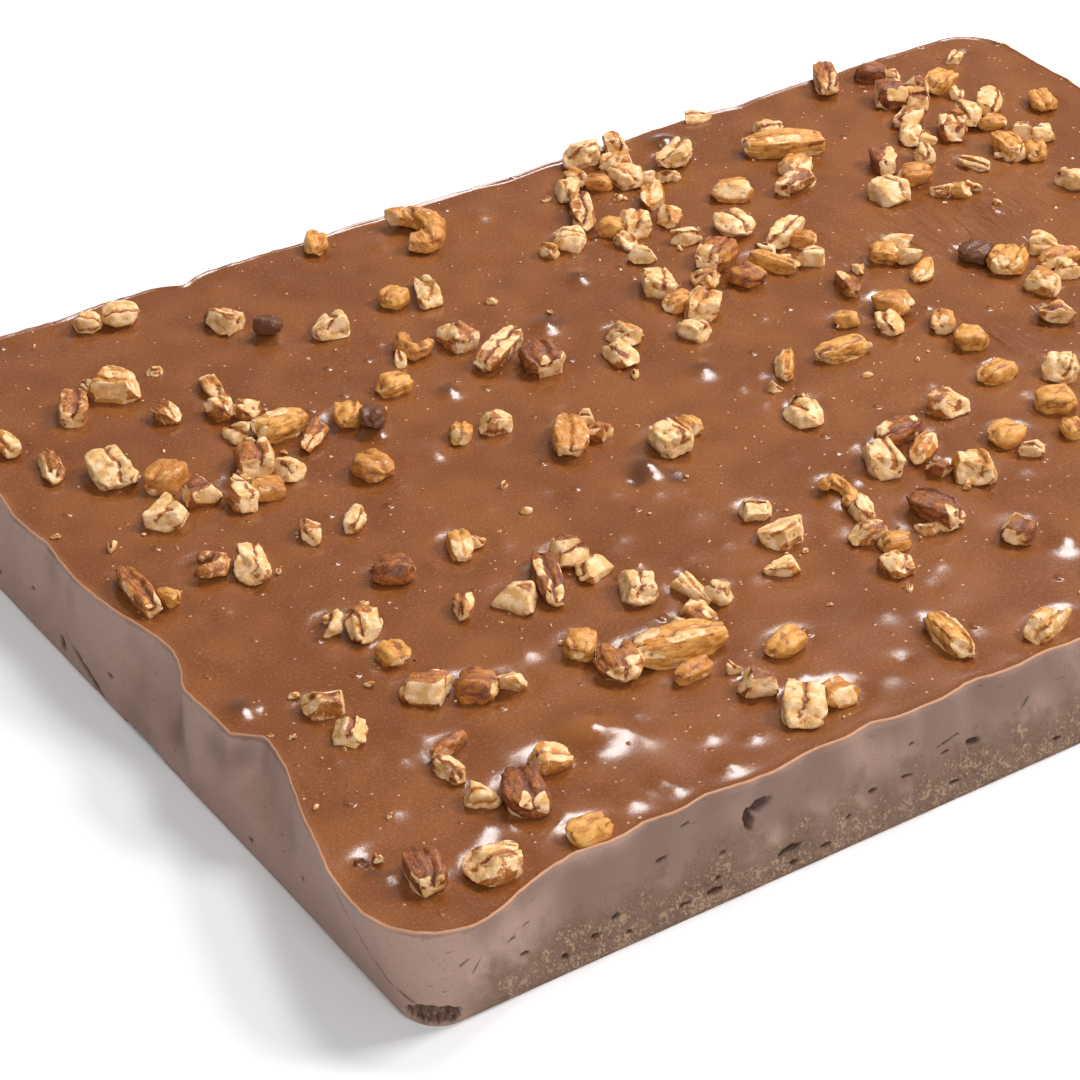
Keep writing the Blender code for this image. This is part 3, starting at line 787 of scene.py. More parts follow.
    def block(self) -> bmesh.types.BMesh:
        """The plain block on the foot line, finer at its rim and its walls."""
        columns, column_numbers, column_places = self.rows(LENGTH)
        rows, row_numbers, row_places = self.rows(WIDTH)
        bm = bmesh.new()
        bmesh.ops.create_grid(bm, x_segments=columns, y_segments=rows, size=0.5)
        for vert in bm.verts:
            vert.co.x = np.interp(round((vert.co.x + 0.5) * columns), column_numbers, column_places)
            vert.co.y = np.interp(round((vert.co.y + 0.5) * rows), row_numbers, row_places)
            vert.co.z = THICKNESS
        border = [item for item in bm.edges if item.is_boundary]
        walls = set(border)
        for height in self.wall_rows:
            made = bmesh.ops.extrude_edge_only(bm, edges=border)["geom"]
            for item in made:
                if isinstance(item, bmesh.types.BMVert):
                    item.co.z = height
            border = [item for item in made if isinstance(item, bmesh.types.BMEdge) and item.is_boundary]
        walls |= {item for item in bm.edges if min(vert.co.z for vert in item.verts) < THICKNESS}
        bmesh.ops.subdivide_edges(bm, edges=list(walls), cuts=1, use_grid_fill=True)
        for margin in (2.4, 1.1):
            near = [item for item in bm.edges if self.near_hole(item, margin)]
            bmesh.ops.subdivide_edges(bm, edges=near, cuts=1, use_grid_fill=True)
        bmesh.ops.holes_fill(bm, edges=[item for item in bm.edges if item.is_boundary], sides=0)
        bmesh.ops.recalc_face_normals(bm, faces=bm.faces)
        return bm

    def near_hole(self, edge: bmesh.types.BMEdge, margin: float) -> bool:
        """Whether an edge of the block lies in a wall within a margin of a hole or of the break."""
        first, second = (vert.co for vert in edge.verts)
        if max(first.z, second.z) > THICKNESS - 0.1:
            return False
        middle = (first + second) / 2
        outside = (first.x + second.x) * (first.y + second.y) < 1e-6
        if outside and max(middle.x, middle.y) < self.break_reach and middle.z < self.break_top:
            return True
        for place, other, holes in (
            (middle.x, max(first.y, second.y), self.front_holes),
            (middle.y, max(first.x, second.x), self.left_holes),
        ):
            if other > 0.01:
                continue
            for along, height, length, tall, turn, _ in holes:
                up = max(tall, length * abs(math.sin(math.radians(turn)))) / 2 + margin
                if abs(place - along) < length / 2 + margin and abs(middle.z - height) < up:
                    return True
        return False

    def top_height(self, x: np.ndarray, y: np.ndarray) -> np.ndarray:
        """The height of the top inside its lip, without its finest ripples."""
        points = np.column_stack([x, y, np.zeros(len(x))])
        height = THICKNESS - self.lip_height + self.swell * noise_at(points, self.swell_length)
        for place_x, place_y, radius, rise in self.bumps:
            height += rise * bell(np.hypot(x - place_x, y - place_y), radius * self.bump_share)
        return height

    def seat_height(self, x: float, y: float) -> float:
        """The height of the top at one place."""
        return float(self.top_height(np.array([x]), np.array([y]))[0])

    def relief(self, x: np.ndarray, y: np.ndarray, nuts: "list[Piece]") -> np.ndarray:
        """What the small swells, the ripples and the nuts' collars add to the top.

        Args:
            x: places along the slab.
            y: places across it.
            nuts: the pieces that stand in the top.

        Returns:
            One height for each place.
        """
        points = np.column_stack([x, y, np.zeros(len(x))])
        rise = 0.22 * noise_at(points, 15.0, 2.2) + 0.10 * noise_at(points, 6.5, 7.3)
        draw = random.Random(5)
        scattered = [
            (
                draw.uniform(16, LENGTH - 18), draw.uniform(12, WIDTH - 14),
                draw.uniform(2.0, 3.8), draw.choice((-0.8, 0.7, 1.1)),
            )
            for _ in range(self.swell_count)
        ]
        for place_x, place_y, half_width, height in [*self.dimples, *scattered]:
            rise += height * bell(np.hypot(x - place_x, y - place_y), half_width)
        place_x, place_y, half_width, depth = self.low_corner
        rise -= depth * bell(np.hypot(x - place_x, y - place_y), half_width)
        for number, nut in enumerate(nuts):
            over_x, over_y = x - nut.x, y - nut.y
            near = np.hypot(over_x, over_y) < nut.length / 2 + 6.0
            along, across = turned(over_x[near], over_y[near], nut.turn)
            out = np.hypot(along / (nut.length / 2), across / (nut.width / 2))
            beyond = (out - 0.9) * (nut.length + nut.width) / 4
            depth = self.moat_depth + self.moat_step * (number % 5)
            rise[near] -= depth * bell(beyond - self.moat_reach, self.moat_reach)
        return rise

    def carve(self, flat: np.ndarray, moved: np.ndarray) -> tuple[np.ndarray, np.ndarray]:
        """Presses the air holes and the broken foot corner in.

        Args:
            flat: the block's points.
            moved: their places on the slab, changed here.

        Returns:
            How much painted shade each point gets, from 0 to 1, deepest in the holes and in the hollows of
            the broken corner, and how much is broken off there.
        """
        pit = np.zeros(len(flat))
        below = flat[:, 2] < THICKNESS - 0.1
        wobble = 0.30 * noise_at(moved, 1.7, 4.4)
        for axis, holes in ((0, self.front_holes), (1, self.left_holes)):
            wall = (flat[:, 1 - axis] < 0.01) & below
            for along, height, length, tall, turn, depth in holes:
                over, up = turned(flat[:, axis] - along, flat[:, 2] - height, turn)
                out = np.hypot(over / (length / 2), up / (tall / 2)) + wobble
                inside = np.where(wall, 1.0 - smooth_step(0.6, 1.15, out), 0.0)
                moved[:, 1 - axis] += depth * inside
                pit = np.maximum(pit, inside)
        diagonal = np.array([1.0, 1.0]) / math.sqrt(2)
        over = moved - np.array(self.break_middle)
        along = over[:, 0] * diagonal[1] - over[:, 1] * diagonal[0]
        inward = over[:, 0] * diagonal[0] + over[:, 1] * diagonal[1]
        size = [value / 2 for value in self.break_size]
        out = np.sqrt((along / size[0]) ** 2 + (inward / size[1]) ** 2 + (over[:, 2] / size[2]) ** 2)
        gone = (1.0 - smooth_step(0.8, 1.1, out + 0.8 * wobble)) * below
        lumps = noise_at(moved, 1.3, 2.9)
        moved[:, :2] += diagonal * (gone * (self.break_depth + self.break_roughness * lumps))[:, None]
        return np.maximum(pit, np.clip(gone * (0.05 - 1.3 * lumps), 0.0, 1.0)), gone

    def colour_in(self, mesh: bpy.types.Mesh, spots: np.ndarray, broken: np.ndarray) -> None:
        """Stores what the fudge's finish needs.

        Args:
            mesh: the slab's mesh.
            spots: its points.
            broken: how much is broken off at each point.
        """
        x, y, z = spots.T
        cloud = 0.5 + 0.55 * noise_at(spots, 34.0, 4.2) + 0.45 * noise_at(spots, 12.0, 6.6)
        # Painted light: the left wall's bloom is made paler and the other walls' darker, for the light that
        # falls on the left wall
        painted_left_light = mix(0.42, -0.12, smooth_step(5.0, 26.0, x))
        store(mesh, "cloud", cloud + np.where(z < THICKNESS - 2.0, painted_left_light, 0.0))
        stain = np.zeros(len(spots))
        for place_x, place_y, radius, shade in self.stains_and_shade:
            stain += shade * bell(np.hypot(x - place_x, y - place_y), radius * 0.7)
        store(mesh, "stain", np.clip(stain, -1.0, 1.0))
        wrinkled = np.zeros(len(spots))
        for place_x, place_y, long, wide, strength in self.wrinkles:
            wrinkled += strength * bell(np.hypot((x - place_x) / long, (y - place_y) / wide), 1.0)
        store(mesh, "wrinkled", wrinkled)
        height = z + 8.0 * noise_at(spots, 8.0, 3.3) + 5.0 * noise_at(spots, 2.6, 1.9)
        bare = 1.0 - smooth_step(5.0, 22.0, height)
        bare *= mix(0.15, 1.0, smooth_step(8.0, 24.0, x))
        store(mesh, "crumbly", np.maximum(bare, broken))

    def build(self, nuts: "list[Piece]", finish: bpy.types.Material) -> bpy.types.Object:
        """Makes the slab.

        Args:
            nuts: the pieces that stand in its top.
            finish: the fudge's material.

        Returns:
            The finished piece.
        """
        bm = self.block()
        mesh = bpy.data.meshes.new("poured_fudge")
        bm.to_mesh(mesh)
        bm.free()
        flat = np.empty(len(mesh.vertices) * 3)
        mesh.vertices.foreach_get("co", flat)
        flat = flat.reshape(-1, 3)
        moved, inner = self.outline.place(flat)
        on_top = flat[:, 2] > THICKNESS - 0.001
        x, y = moved[:, 0], moved[:, 1]
        plan = np.column_stack([x, y, np.zeros(len(x))])
        lip = THICKNESS - 0.3 + self.lip_ripple * noise_at(plan, 13.0, 1.7)
        lip += self.lip_ripple * noise_at(plan, 3.4, 6.1)
        surface = self.top_height(x, y) + self.relief(x, y, nuts) * smooth_step(0.5, 9.0, inner)
        at_lip = np.where(inner < 0.45, 1.0, bell(inner - 0.45, 0.75))
        outer = self.lip_round * (1.0 - np.clip(inner / 0.45, 0.0, 1.0)) ** 2
        wall = flat[:, 2] / THICKNESS * (lip - self.lip_round)
        moved[:, 2] = np.where(on_top, mix(surface, lip, at_lip) - outer, wall)
        pit, broken = self.carve(flat, moved)
        mesh.vertices.foreach_set("co", moved.ravel())
        rim = np.where(on_top, 1.0 - smooth_step(0.15, 0.6, inner), smooth_step(29.55, 29.95, flat[:, 2]))
        store(mesh, "top", np.where(on_top, smooth_step(0.2, 0.8, inner), 0.0))
        store(mesh, "rim", rim)
        # Painted shade in the holes and the broken corner
        store(mesh, "pit", pit)
        self.colour_in(mesh, moved, broken)
        mesh.transform(to_frame())
        mesh.shade_smooth()
        mesh.set_sharp_from_angle(angle=math.radians(60))
        slab = add_piece("poured_fudge", mesh, finish)
        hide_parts("fudge_slab")
        return slab


# ---------------------------------------------------------------------------------------------------
# The pecans
# ---------------------------------------------------------------------------------------------------


class Kind(Enum):
    """How a piece was chopped: for each cut, its direction and how far from the middle it passes."""

    HALF = (((-1.0, 0.1, 0.2), 0.9),)
    ROD = (((1.0, 0.1, 0.3), 0.84), ((-1.0, 0.2, 0.1), 0.84))
    CHUNK = (((1.0, 0.2, 0.2), 0.66), ((-1.0, 0.2, 0.3), 0.7), ((0.1, -1.0, 0.3), 0.7))
    WEDGE = (
        ((1.0, 0.5, 0.1), 0.6),
        ((-1.0, 0.4, 0.2), 0.66),
        ((0.2, -0.6, 1.0), 0.4),
        ((0.3, -1.0, 0.2), 0.6),
    )
    CURL = ()


class Look(Enum):
    """A piece's colours: its skin's darkness, and how much skin it has lost."""

    GOLDEN = (0.10, 0.14)
    TAN = (0.20, 0.36)
    REDDISH = (0.36, 0.12)
    DARK = (0.52, 0.12)
    CREAM = (0.34, 0.84)
    MIXED = (0.44, 0.45)
    COATED = (1.6, -0.60)


@dataclass
class Piece:
    """One chopped piece: its kind, looks, place and size, and the turn of its length in degrees."""

    kind: Kind
    look: Look
    x: float
    y: float
    length: float
    width: float
    height: float
    turn: float


@dataclass
class Chopper:
    """Chops pecans and works their coarse shapes up into ridged skin and broken flesh."""

    kernel_sides: int = 8
    kernel_rings: int = 5
    ridge_depth: float = 0.09
    bluntness: float = 0.7
    slimmer_end: float = 0.3
    cut_jitter: float = 0.26
    kernel_jitter: float = 0.05
    extra_cuts: int = 2  # at random, on all but the halves and curls
    flat_share: float = 0.16
    curl_radius: float = 0.31
    curl_thickness: float = 0.19
    curl_sweep: float = math.radians(235)
    crease_angle: float = math.radians(30)
    crease: float = 0.88
    fullness: float = 1.08  # makes up for what rounding takes off
    sink: float = 1.3  # how deep a piece stands in the fudge
    groove_depth: float = 0.8
    # How strongly the skin folds and wrinkles, how deep the broken flesh is pitted, and how rough it is
    fold: float = 0.42
    wrinkle: float = 0.16
    pitting: float = 0.65
    roughness: float = 0.14

    def kernel(self, kind: Kind) -> bmesh.types.BMesh:
        """The uncut kernel that a piece is chopped from, of unit size, lying along X."""
        if kind is Kind.CURL:
            return self.curl()
        bm = bmesh.new()
        bmesh.ops.create_uvsphere(
            bm,
            u_segments=self.kernel_sides,
            v_segments=self.kernel_rings,
            radius=0.5,
            matrix=Matrix.Rotation(math.pi / 2, 4, "Y"),
        )
        for vert in bm.verts:
            x, y, z = vert.co
            ridge = 1.0 - self.ridge_depth * math.cos(self.kernel_sides / 2 * math.atan2(z, y))
            vert.co.x = math.copysign(abs(2 * x) ** self.bluntness / 2, x)
            vert.co.y *= ridge * (1.0 - self.slimmer_end * max(x, 0.0))
            vert.co.z *= ridge
        return bm

    def curl(self) -> bmesh.types.BMesh:
        """A kernel's bent end: a tapered tube swept round an arc."""
        bm = bmesh.new()
        upright = Matrix.Translation((self.curl_radius, 0, 0)) @ Matrix.Rotation(math.pi / 2, 4, "X")
        made = bmesh.ops.create_circle(bm, segments=6, radius=self.curl_thickness, matrix=upright)
        ring = made["verts"]
        edges = {item for vert in ring for item in vert.link_edges}
        bmesh.ops.spin(
            bm, geom=ring + list(edges), cent=(0, 0, 0), axis=(0, 0, 1), angle=self.curl_sweep, steps=6
        )
        for vert in bm.verts:
            angle = math.atan2(vert.co.y, vert.co.x) % (2 * math.pi)
            middle = Vector((math.cos(angle), math.sin(angle), 0)) * self.curl_radius
            taper = 0.72 + 0.34 * math.sin(math.pi * min(angle / self.curl_sweep, 1.0))
            vert.co = middle + (vert.co - middle) * taper
        bmesh.ops.holes_fill(bm, edges=[item for item in bm.edges if item.is_boundary], sides=0)
        bmesh.ops.recalc_face_normals(bm, faces=bm.faces)
        return bm

    def cut(self, bm: bmesh.types.BMesh, point: Vector, outward: Vector) -> None:
        """Cuts off what lies beyond a plane, closes the cut and marks it as bare."""
        everything = bm.verts[:] + bm.edges[:] + bm.faces[:]
        bmesh.ops.bisect_plane(bm, geom=everything, plane_co=point, plane_no=outward, clear_outer=True)
        open_edges = [item for item in bm.edges if item.is_boundary]
        made = bmesh.ops.holes_fill(bm, edges=open_edges, sides=0)
        bare = bm.faces.layers.float["bare"]
        for face in made["faces"]:
            face[bare] = 1.0

    def chop(self, piece: Piece, draw: random.Random) -> bmesh.types.BMesh:
        """The coarse shape of a piece, lying along X over the origin, with its foot at z = 0.

        Args:
            piece: what to make.
            draw: where its chances come from.

        Returns:
            Its closed mesh, whose "bare" layer is 1 on the cuts.
        """
        bm = self.kernel(piece.kind)
        bare = bm.faces.layers.float.new("bare")
        for face in bm.faces:
            face[bare] = piece.look.value[1]
        for vert in bm.verts:
            vert.co += vert.co.normalized() * draw.uniform(-self.kernel_jitter, self.kernel_jitter)
        hand = draw.choice((-1.0, 1.0))
        for direction, share in piece.kind.value:
            jitter = [draw.uniform(-self.cut_jitter, self.cut_jitter) for _ in direction]
            outward = (Vector(direction) + Vector(jitter)).normalized()
            outward.y *= hand
            self.cut(bm, outward * (share + draw.uniform(-0.08, 0.08)) / 2, outward)
        for _ in range(self.extra_cuts if piece.kind in (Kind.CHUNK, Kind.WEDGE, Kind.ROD) else 0):
            direction = (draw.uniform(-1, 1), draw.uniform(-1, 1), draw.uniform(-0.1, 0.9))
            outward = Vector(direction).normalized()
            self.cut(bm, outward * draw.uniform(0.56, 0.8) / 2, outward)
        roll, pitch = draw.uniform(-0.3, 0.3), draw.uniform(-0.2, 0.2)
        tilt = Matrix.Rotation(roll, 3, "X") @ Matrix.Rotation(pitch, 3, "Y")
        bmesh.ops.rotate(bm, verts=bm.verts, matrix=tilt)
        low, high = self.box(bm)
        below = Vector((0, 0, (high.z - low.z) * (0.5 - self.flat_share)))
        self.cut(bm, (low + high) / 2 - below, Vector((0, 0, -1)))
        low, high = self.box(bm)
        size = high - low
        bmesh.ops.translate(bm, verts=bm.verts, vec=Vector((0, 0, size.z / 2)) - (low + high) / 2)
        bmesh.ops.scale(
            bm, verts=bm.verts, vec=(piece.length / size.x, piece.width / size.y, piece.height / size.z)
        )
        return bm

    def box(self, bm: bmesh.types.BMesh) -> tuple[Vector, Vector]:
        """The lowest and highest corner of a mesh."""
        places = np.array([vert.co[:] for vert in bm.verts])
        return Vector(places.min(axis=0)), Vector(places.max(axis=0))

    def coarse(self, bm: bmesh.types.BMesh, tone: float, seed: float, place: Matrix) -> bpy.types.Object:
        """Gives a coarse shape what the working up needs, and puts it in its place.

        Args:
            bm: the shape, with its length along X and its foot at z = 0. It is freed.
            tone: its skin's darkness.
            seed: a number of its own for its noise.
            place: where it goes.

        Returns:
            A temporary object.
        """
        creases = bm.edges.layers.float.new("crease_edge")
        grain = bm.verts.layers.float_vector.new("grain")
        tones = bm.verts.layers.float.new("tone")
        seeds = bm.verts.layers.float.new("seed")
        bmesh.ops.scale(bm, verts=bm.verts, vec=(self.fullness,) * 3)
        low, high = self.box(bm)
        middle = Vector((0, 0, (low.z + high.z) * 0.4))
        for vert in bm.verts:
            vert[grain] = vert.co - middle
            vert[tones] = tone
            vert[seeds] = seed
        for item in bm.edges:
            if len(item.link_faces) == 2 and item.calc_face_angle(0.0) > self.crease_angle:
                item[creases] = self.crease
        bmesh.ops.transform(bm, verts=bm.verts, matrix=place)
        mesh = bpy.data.meshes.new("coarse")
        bm.to_mesh(mesh)
        bm.free()
        made = bpy.data.objects.new("coarse", mesh)
        bpy.context.scene.collection.objects.link(made)
        return made

    def work_up(self, coarse: bpy.types.Object, name: str, level: int) -> bpy.types.Mesh:
        """Rounds a coarse shape, then raises its skin's ridges and roughens its flesh.

        Args:
            coarse: the temporary object, which is removed.
            name: the new mesh's name.
            level: how many times it is subdivided.

        Returns:
            The finished mesh, in millimetres.
        """
        rounding = coarse.modifiers.new("Rounding", "SUBSURF")
        rounding.levels = rounding.render_levels = level
        graph = bpy.context.evaluated_depsgraph_get()
        mesh = bpy.data.meshes.new_from_object(coarse.evaluated_get(graph))
        mesh.name = name
        old = coarse.data
        bpy.data.objects.remove(coarse)
        bpy.data.meshes.remove(old)
        count = len(mesh.vertices)
        spots, normals = np.empty(count * 3), np.empty(count * 3)
        mesh.vertices.foreach_get("co", spots)
        mesh.vertex_normals.foreach_get("vector", normals)
        spots, normals = spots.reshape(-1, 3), normals.reshape(-1, 3)
        grain, seed = np.empty(count * 3), np.empty(count)
        mesh.attributes["grain"].data.foreach_get("vector", grain)
        mesh.attributes["seed"].data.foreach_get("value", seed)
        grain = grain.reshape(-1, 3)
        bare = self.spread(mesh)
        local = grain + seed[:, None]
        folds = np.abs(noise_at(local * (0.34, 1.0, 1.0), 2.2))
        wrinkles = np.abs(noise_at(local * (0.45, 1.0, 1.0), 1.05, 3.0))
        lumps = noise_at(local, 3.4, 9.0)
        cups = cups_at(local, 3.1, 5.0)
        fine = noise_at(local, 0.95, 5.0)
        groove = self.groove(grain, seed, lumps)
        skin = self.fold * (folds**0.7 - 0.33) + self.wrinkle * (wrinkles**0.8 - 0.25) + 0.4 * lumps
        flesh = self.pitting * (cups - 0.42) + self.roughness * fine + 0.5 * lumps
        bare = np.clip(bare, 0.0, 1.0) * (1.0 - 0.8 * groove)
        store(mesh, "bare", bare)
        shift = mix(skin, flesh, bare) - self.groove_depth * groove
        mesh.vertices.foreach_set("co", (spots + normals * shift[:, None]).ravel())
        mesh.update()
        # How deep each point lies in a fold, pit or groove, which the pecan finish darkens, partly as dark
        # skin and partly as painted shade
        deep_skin = 1.0 - smooth_step(0.02, 0.22, folds) + 0.4 * (1.0 - smooth_step(0.0, 0.15, wrinkles))
        deep_flesh = 1.0 - smooth_step(0.12, 0.42, cups + 0.2 * fine)
        deep = mix(deep_skin, deep_flesh, bare) + 0.7 * groove
        store(mesh, "hollow", np.clip(deep, 0.0, 1.0))
        mesh.shade_smooth()
        return mesh

    def groove(self, grain: np.ndarray, seed: np.ndarray, bend: np.ndarray) -> np.ndarray:
        """Where the grooves run that part a kernel's lobes lengthwise.

        Args:
            grain: each point's place along and across its own piece.
            seed: its piece's number.
            bend: noise that bends the grooves.

        Returns:
            1 in a groove and 0 away from it.
        """
        around = np.arctan2(grain[:, 2], grain[:, 1]) + 0.35 * bend
        middle = math.pi / 2 + 0.75 * np.sin(5.1 * seed)
        across = np.hypot(grain[:, 1], grain[:, 2])
        main = np.cos(around - middle)
        second = np.cos(around - middle - 1.3 * np.sign(np.sin(9.7 * seed)))
        width = np.maximum(across, 1.0)
        first_gap = np.arccos(np.clip(main, -1, 1)) * width
        second_gap = np.arccos(np.clip(second, -1, 1)) * width
        return np.maximum(bell(first_gap, 0.75), 0.55 * bell(second_gap, 0.6))

    def spread(self, mesh: bpy.types.Mesh) -> np.ndarray:
        """Turns the bareness of faces into one of points."""
        faces = np.empty(len(mesh.polygons))
        mesh.attributes["bare"].data.foreach_get("value", faces)
        corners = np.empty(len(mesh.loops), np.int32)
        mesh.loops.foreach_get("vertex_index", corners)
        totals = np.empty(len(mesh.polygons), np.int32)
        mesh.polygons.foreach_get("loop_total", totals)
        worth = np.repeat(faces, totals)
        count = len(mesh.vertices)
        bare = np.bincount(corners, worth, count) / np.maximum(np.bincount(corners, minlength=count), 1)
        mesh.attributes.remove(mesh.attributes["bare"])
        return bare


@dataclass
class LargePecans:
    """The pieces that are solids of the frame. Each is worked up from its own solid."""

    chopper: Chopper
    level: int = 3
    flat_angle: float = math.radians(1.0)
    # Each solid's looks and the turn of its length, in the order of their numbers
    looks: tuple = (
        (Look.GOLDEN, -10), (Look.GOLDEN, -27), (Look.TAN, 80), (Look.MIXED, 29), (Look.REDDISH, 85),
        (Look.DARK, 68), (Look.MIXED, 62), (Look.REDDISH, 59), (Look.TAN, 58), (Look.CREAM, 82),
        (Look.REDDISH, 72), (Look.DARK, 74), (Look.DARK, 76), (Look.MIXED, -5), (Look.REDDISH, 69),
        (Look.CREAM, 52), (Look.CREAM, 62), (Look.MIXED, 61), (Look.DARK, 77), (Look.TAN, 43),
        (Look.CREAM, 57), (Look.REDDISH, 28), (Look.CREAM, 88), (Look.TAN, 63), (Look.CREAM, 1),
        (Look.MIXED, 65), (Look.CREAM, 32), (Look.CREAM, 26), (Look.TAN, -44), (Look.MIXED, 63),
        (Look.CREAM, 63), (Look.TAN, 76), (Look.GOLDEN, -2), (Look.CREAM, 35), (Look.CREAM, 68),
        (Look.TAN, 58), (Look.DARK, 103), (Look.TAN, 6), (Look.GOLDEN, 85), (Look.GOLDEN, 18),
        (Look.GOLDEN, -6), (Look.CREAM, 87), (Look.GOLDEN, 36), (Look.CREAM, 93), (Look.DARK, -16),
        (Look.GOLDEN, 15), (Look.CREAM, 45), (Look.REDDISH, 65), (Look.GOLDEN, 79), (Look.CREAM, 41),
        (Look.DARK, 5), (Look.MIXED, 10), (Look.GOLDEN, 22), (Look.CREAM, 123), (Look.TAN, 15),
        (Look.REDDISH, 67), (Look.GOLDEN, 148), (Look.MIXED, 29), (Look.CREAM, -34),
    )

    def footprints(self) -> list[Piece]:
        """The places and sizes of the solids, for the fudge round them and the pieces between them."""
        found = []
        for number, (look, turn) in enumerate(self.looks, start=1):
            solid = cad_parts[f"pecan_{number:02d}"]
            spots = np.array([vert.co[:] for vert in solid.data.vertices]) / MM
            middle = (spots.min(axis=0) + spots.max(axis=0)) / 2
            along, across = turned(spots[:, 0], spots[:, 1], turn)
            x, y = middle[0] + LENGTH / 2, middle[1] + WIDTH / 2
            length, width, height = (float(np.ptp(values)) for values in (along, across, spots[:, 2]))
            found.append(Piece(Kind.CHUNK, look, x, y, length, width, height, turn))
        return found

    def build(self, finish: bpy.types.Material) -> None:
        """Makes every large piece, each in place of its solid."""
        for number, foot in enumerate(self.footprints(), start=1):
            node = f"pecan_{number:02d}"
            bm = bmesh.new()
            bm.from_mesh(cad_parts[node].data)
            bmesh.ops.transform(bm, verts=bm.verts, matrix=to_frame().inverted())
            bmesh.ops.remove_doubles(bm, verts=bm.verts, dist=0.01)
            bmesh.ops.dissolve_limit(bm, angle_limit=self.flat_angle, verts=bm.verts, edges=bm.edges)
            bare = bm.faces.layers.float.new("bare")
            for face in bm.faces:
                face[bare] = 1.0 if len(face.verts) > 3 else foot.look.value[1]
            skin = [face for face in bm.faces if len(face.verts) == 3]
            bmesh.ops.join_triangles(bm, faces=skin, angle_face_threshold=0.6, angle_shape_threshold=1.2)
            low, high = self.chopper.box(bm)
            turn = Matrix.Rotation(math.radians(foot.turn), 4, "Z")
            lift = Matrix.Translation((foot.x, foot.y, low.z)) @ turn
            bmesh.ops.transform(bm, verts=bm.verts, matrix=lift.inverted())
            for vert in bm.verts:
                share = min(vert.co.z / (0.35 * (high.z - low.z)), 1.0)
                vert.co.z -= self.chopper.sink * (1.0 - share)
            coarse = self.chopper.coarse(bm, foot.look.value[0], 3.7 * number, lift)
            mesh = self.chopper.work_up(coarse, f"kernel_{number:02d}", self.level)
            mesh.transform(to_frame())
            piece = add_piece(f"kernel_{number:02d}", mesh, finish)
            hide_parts(node)


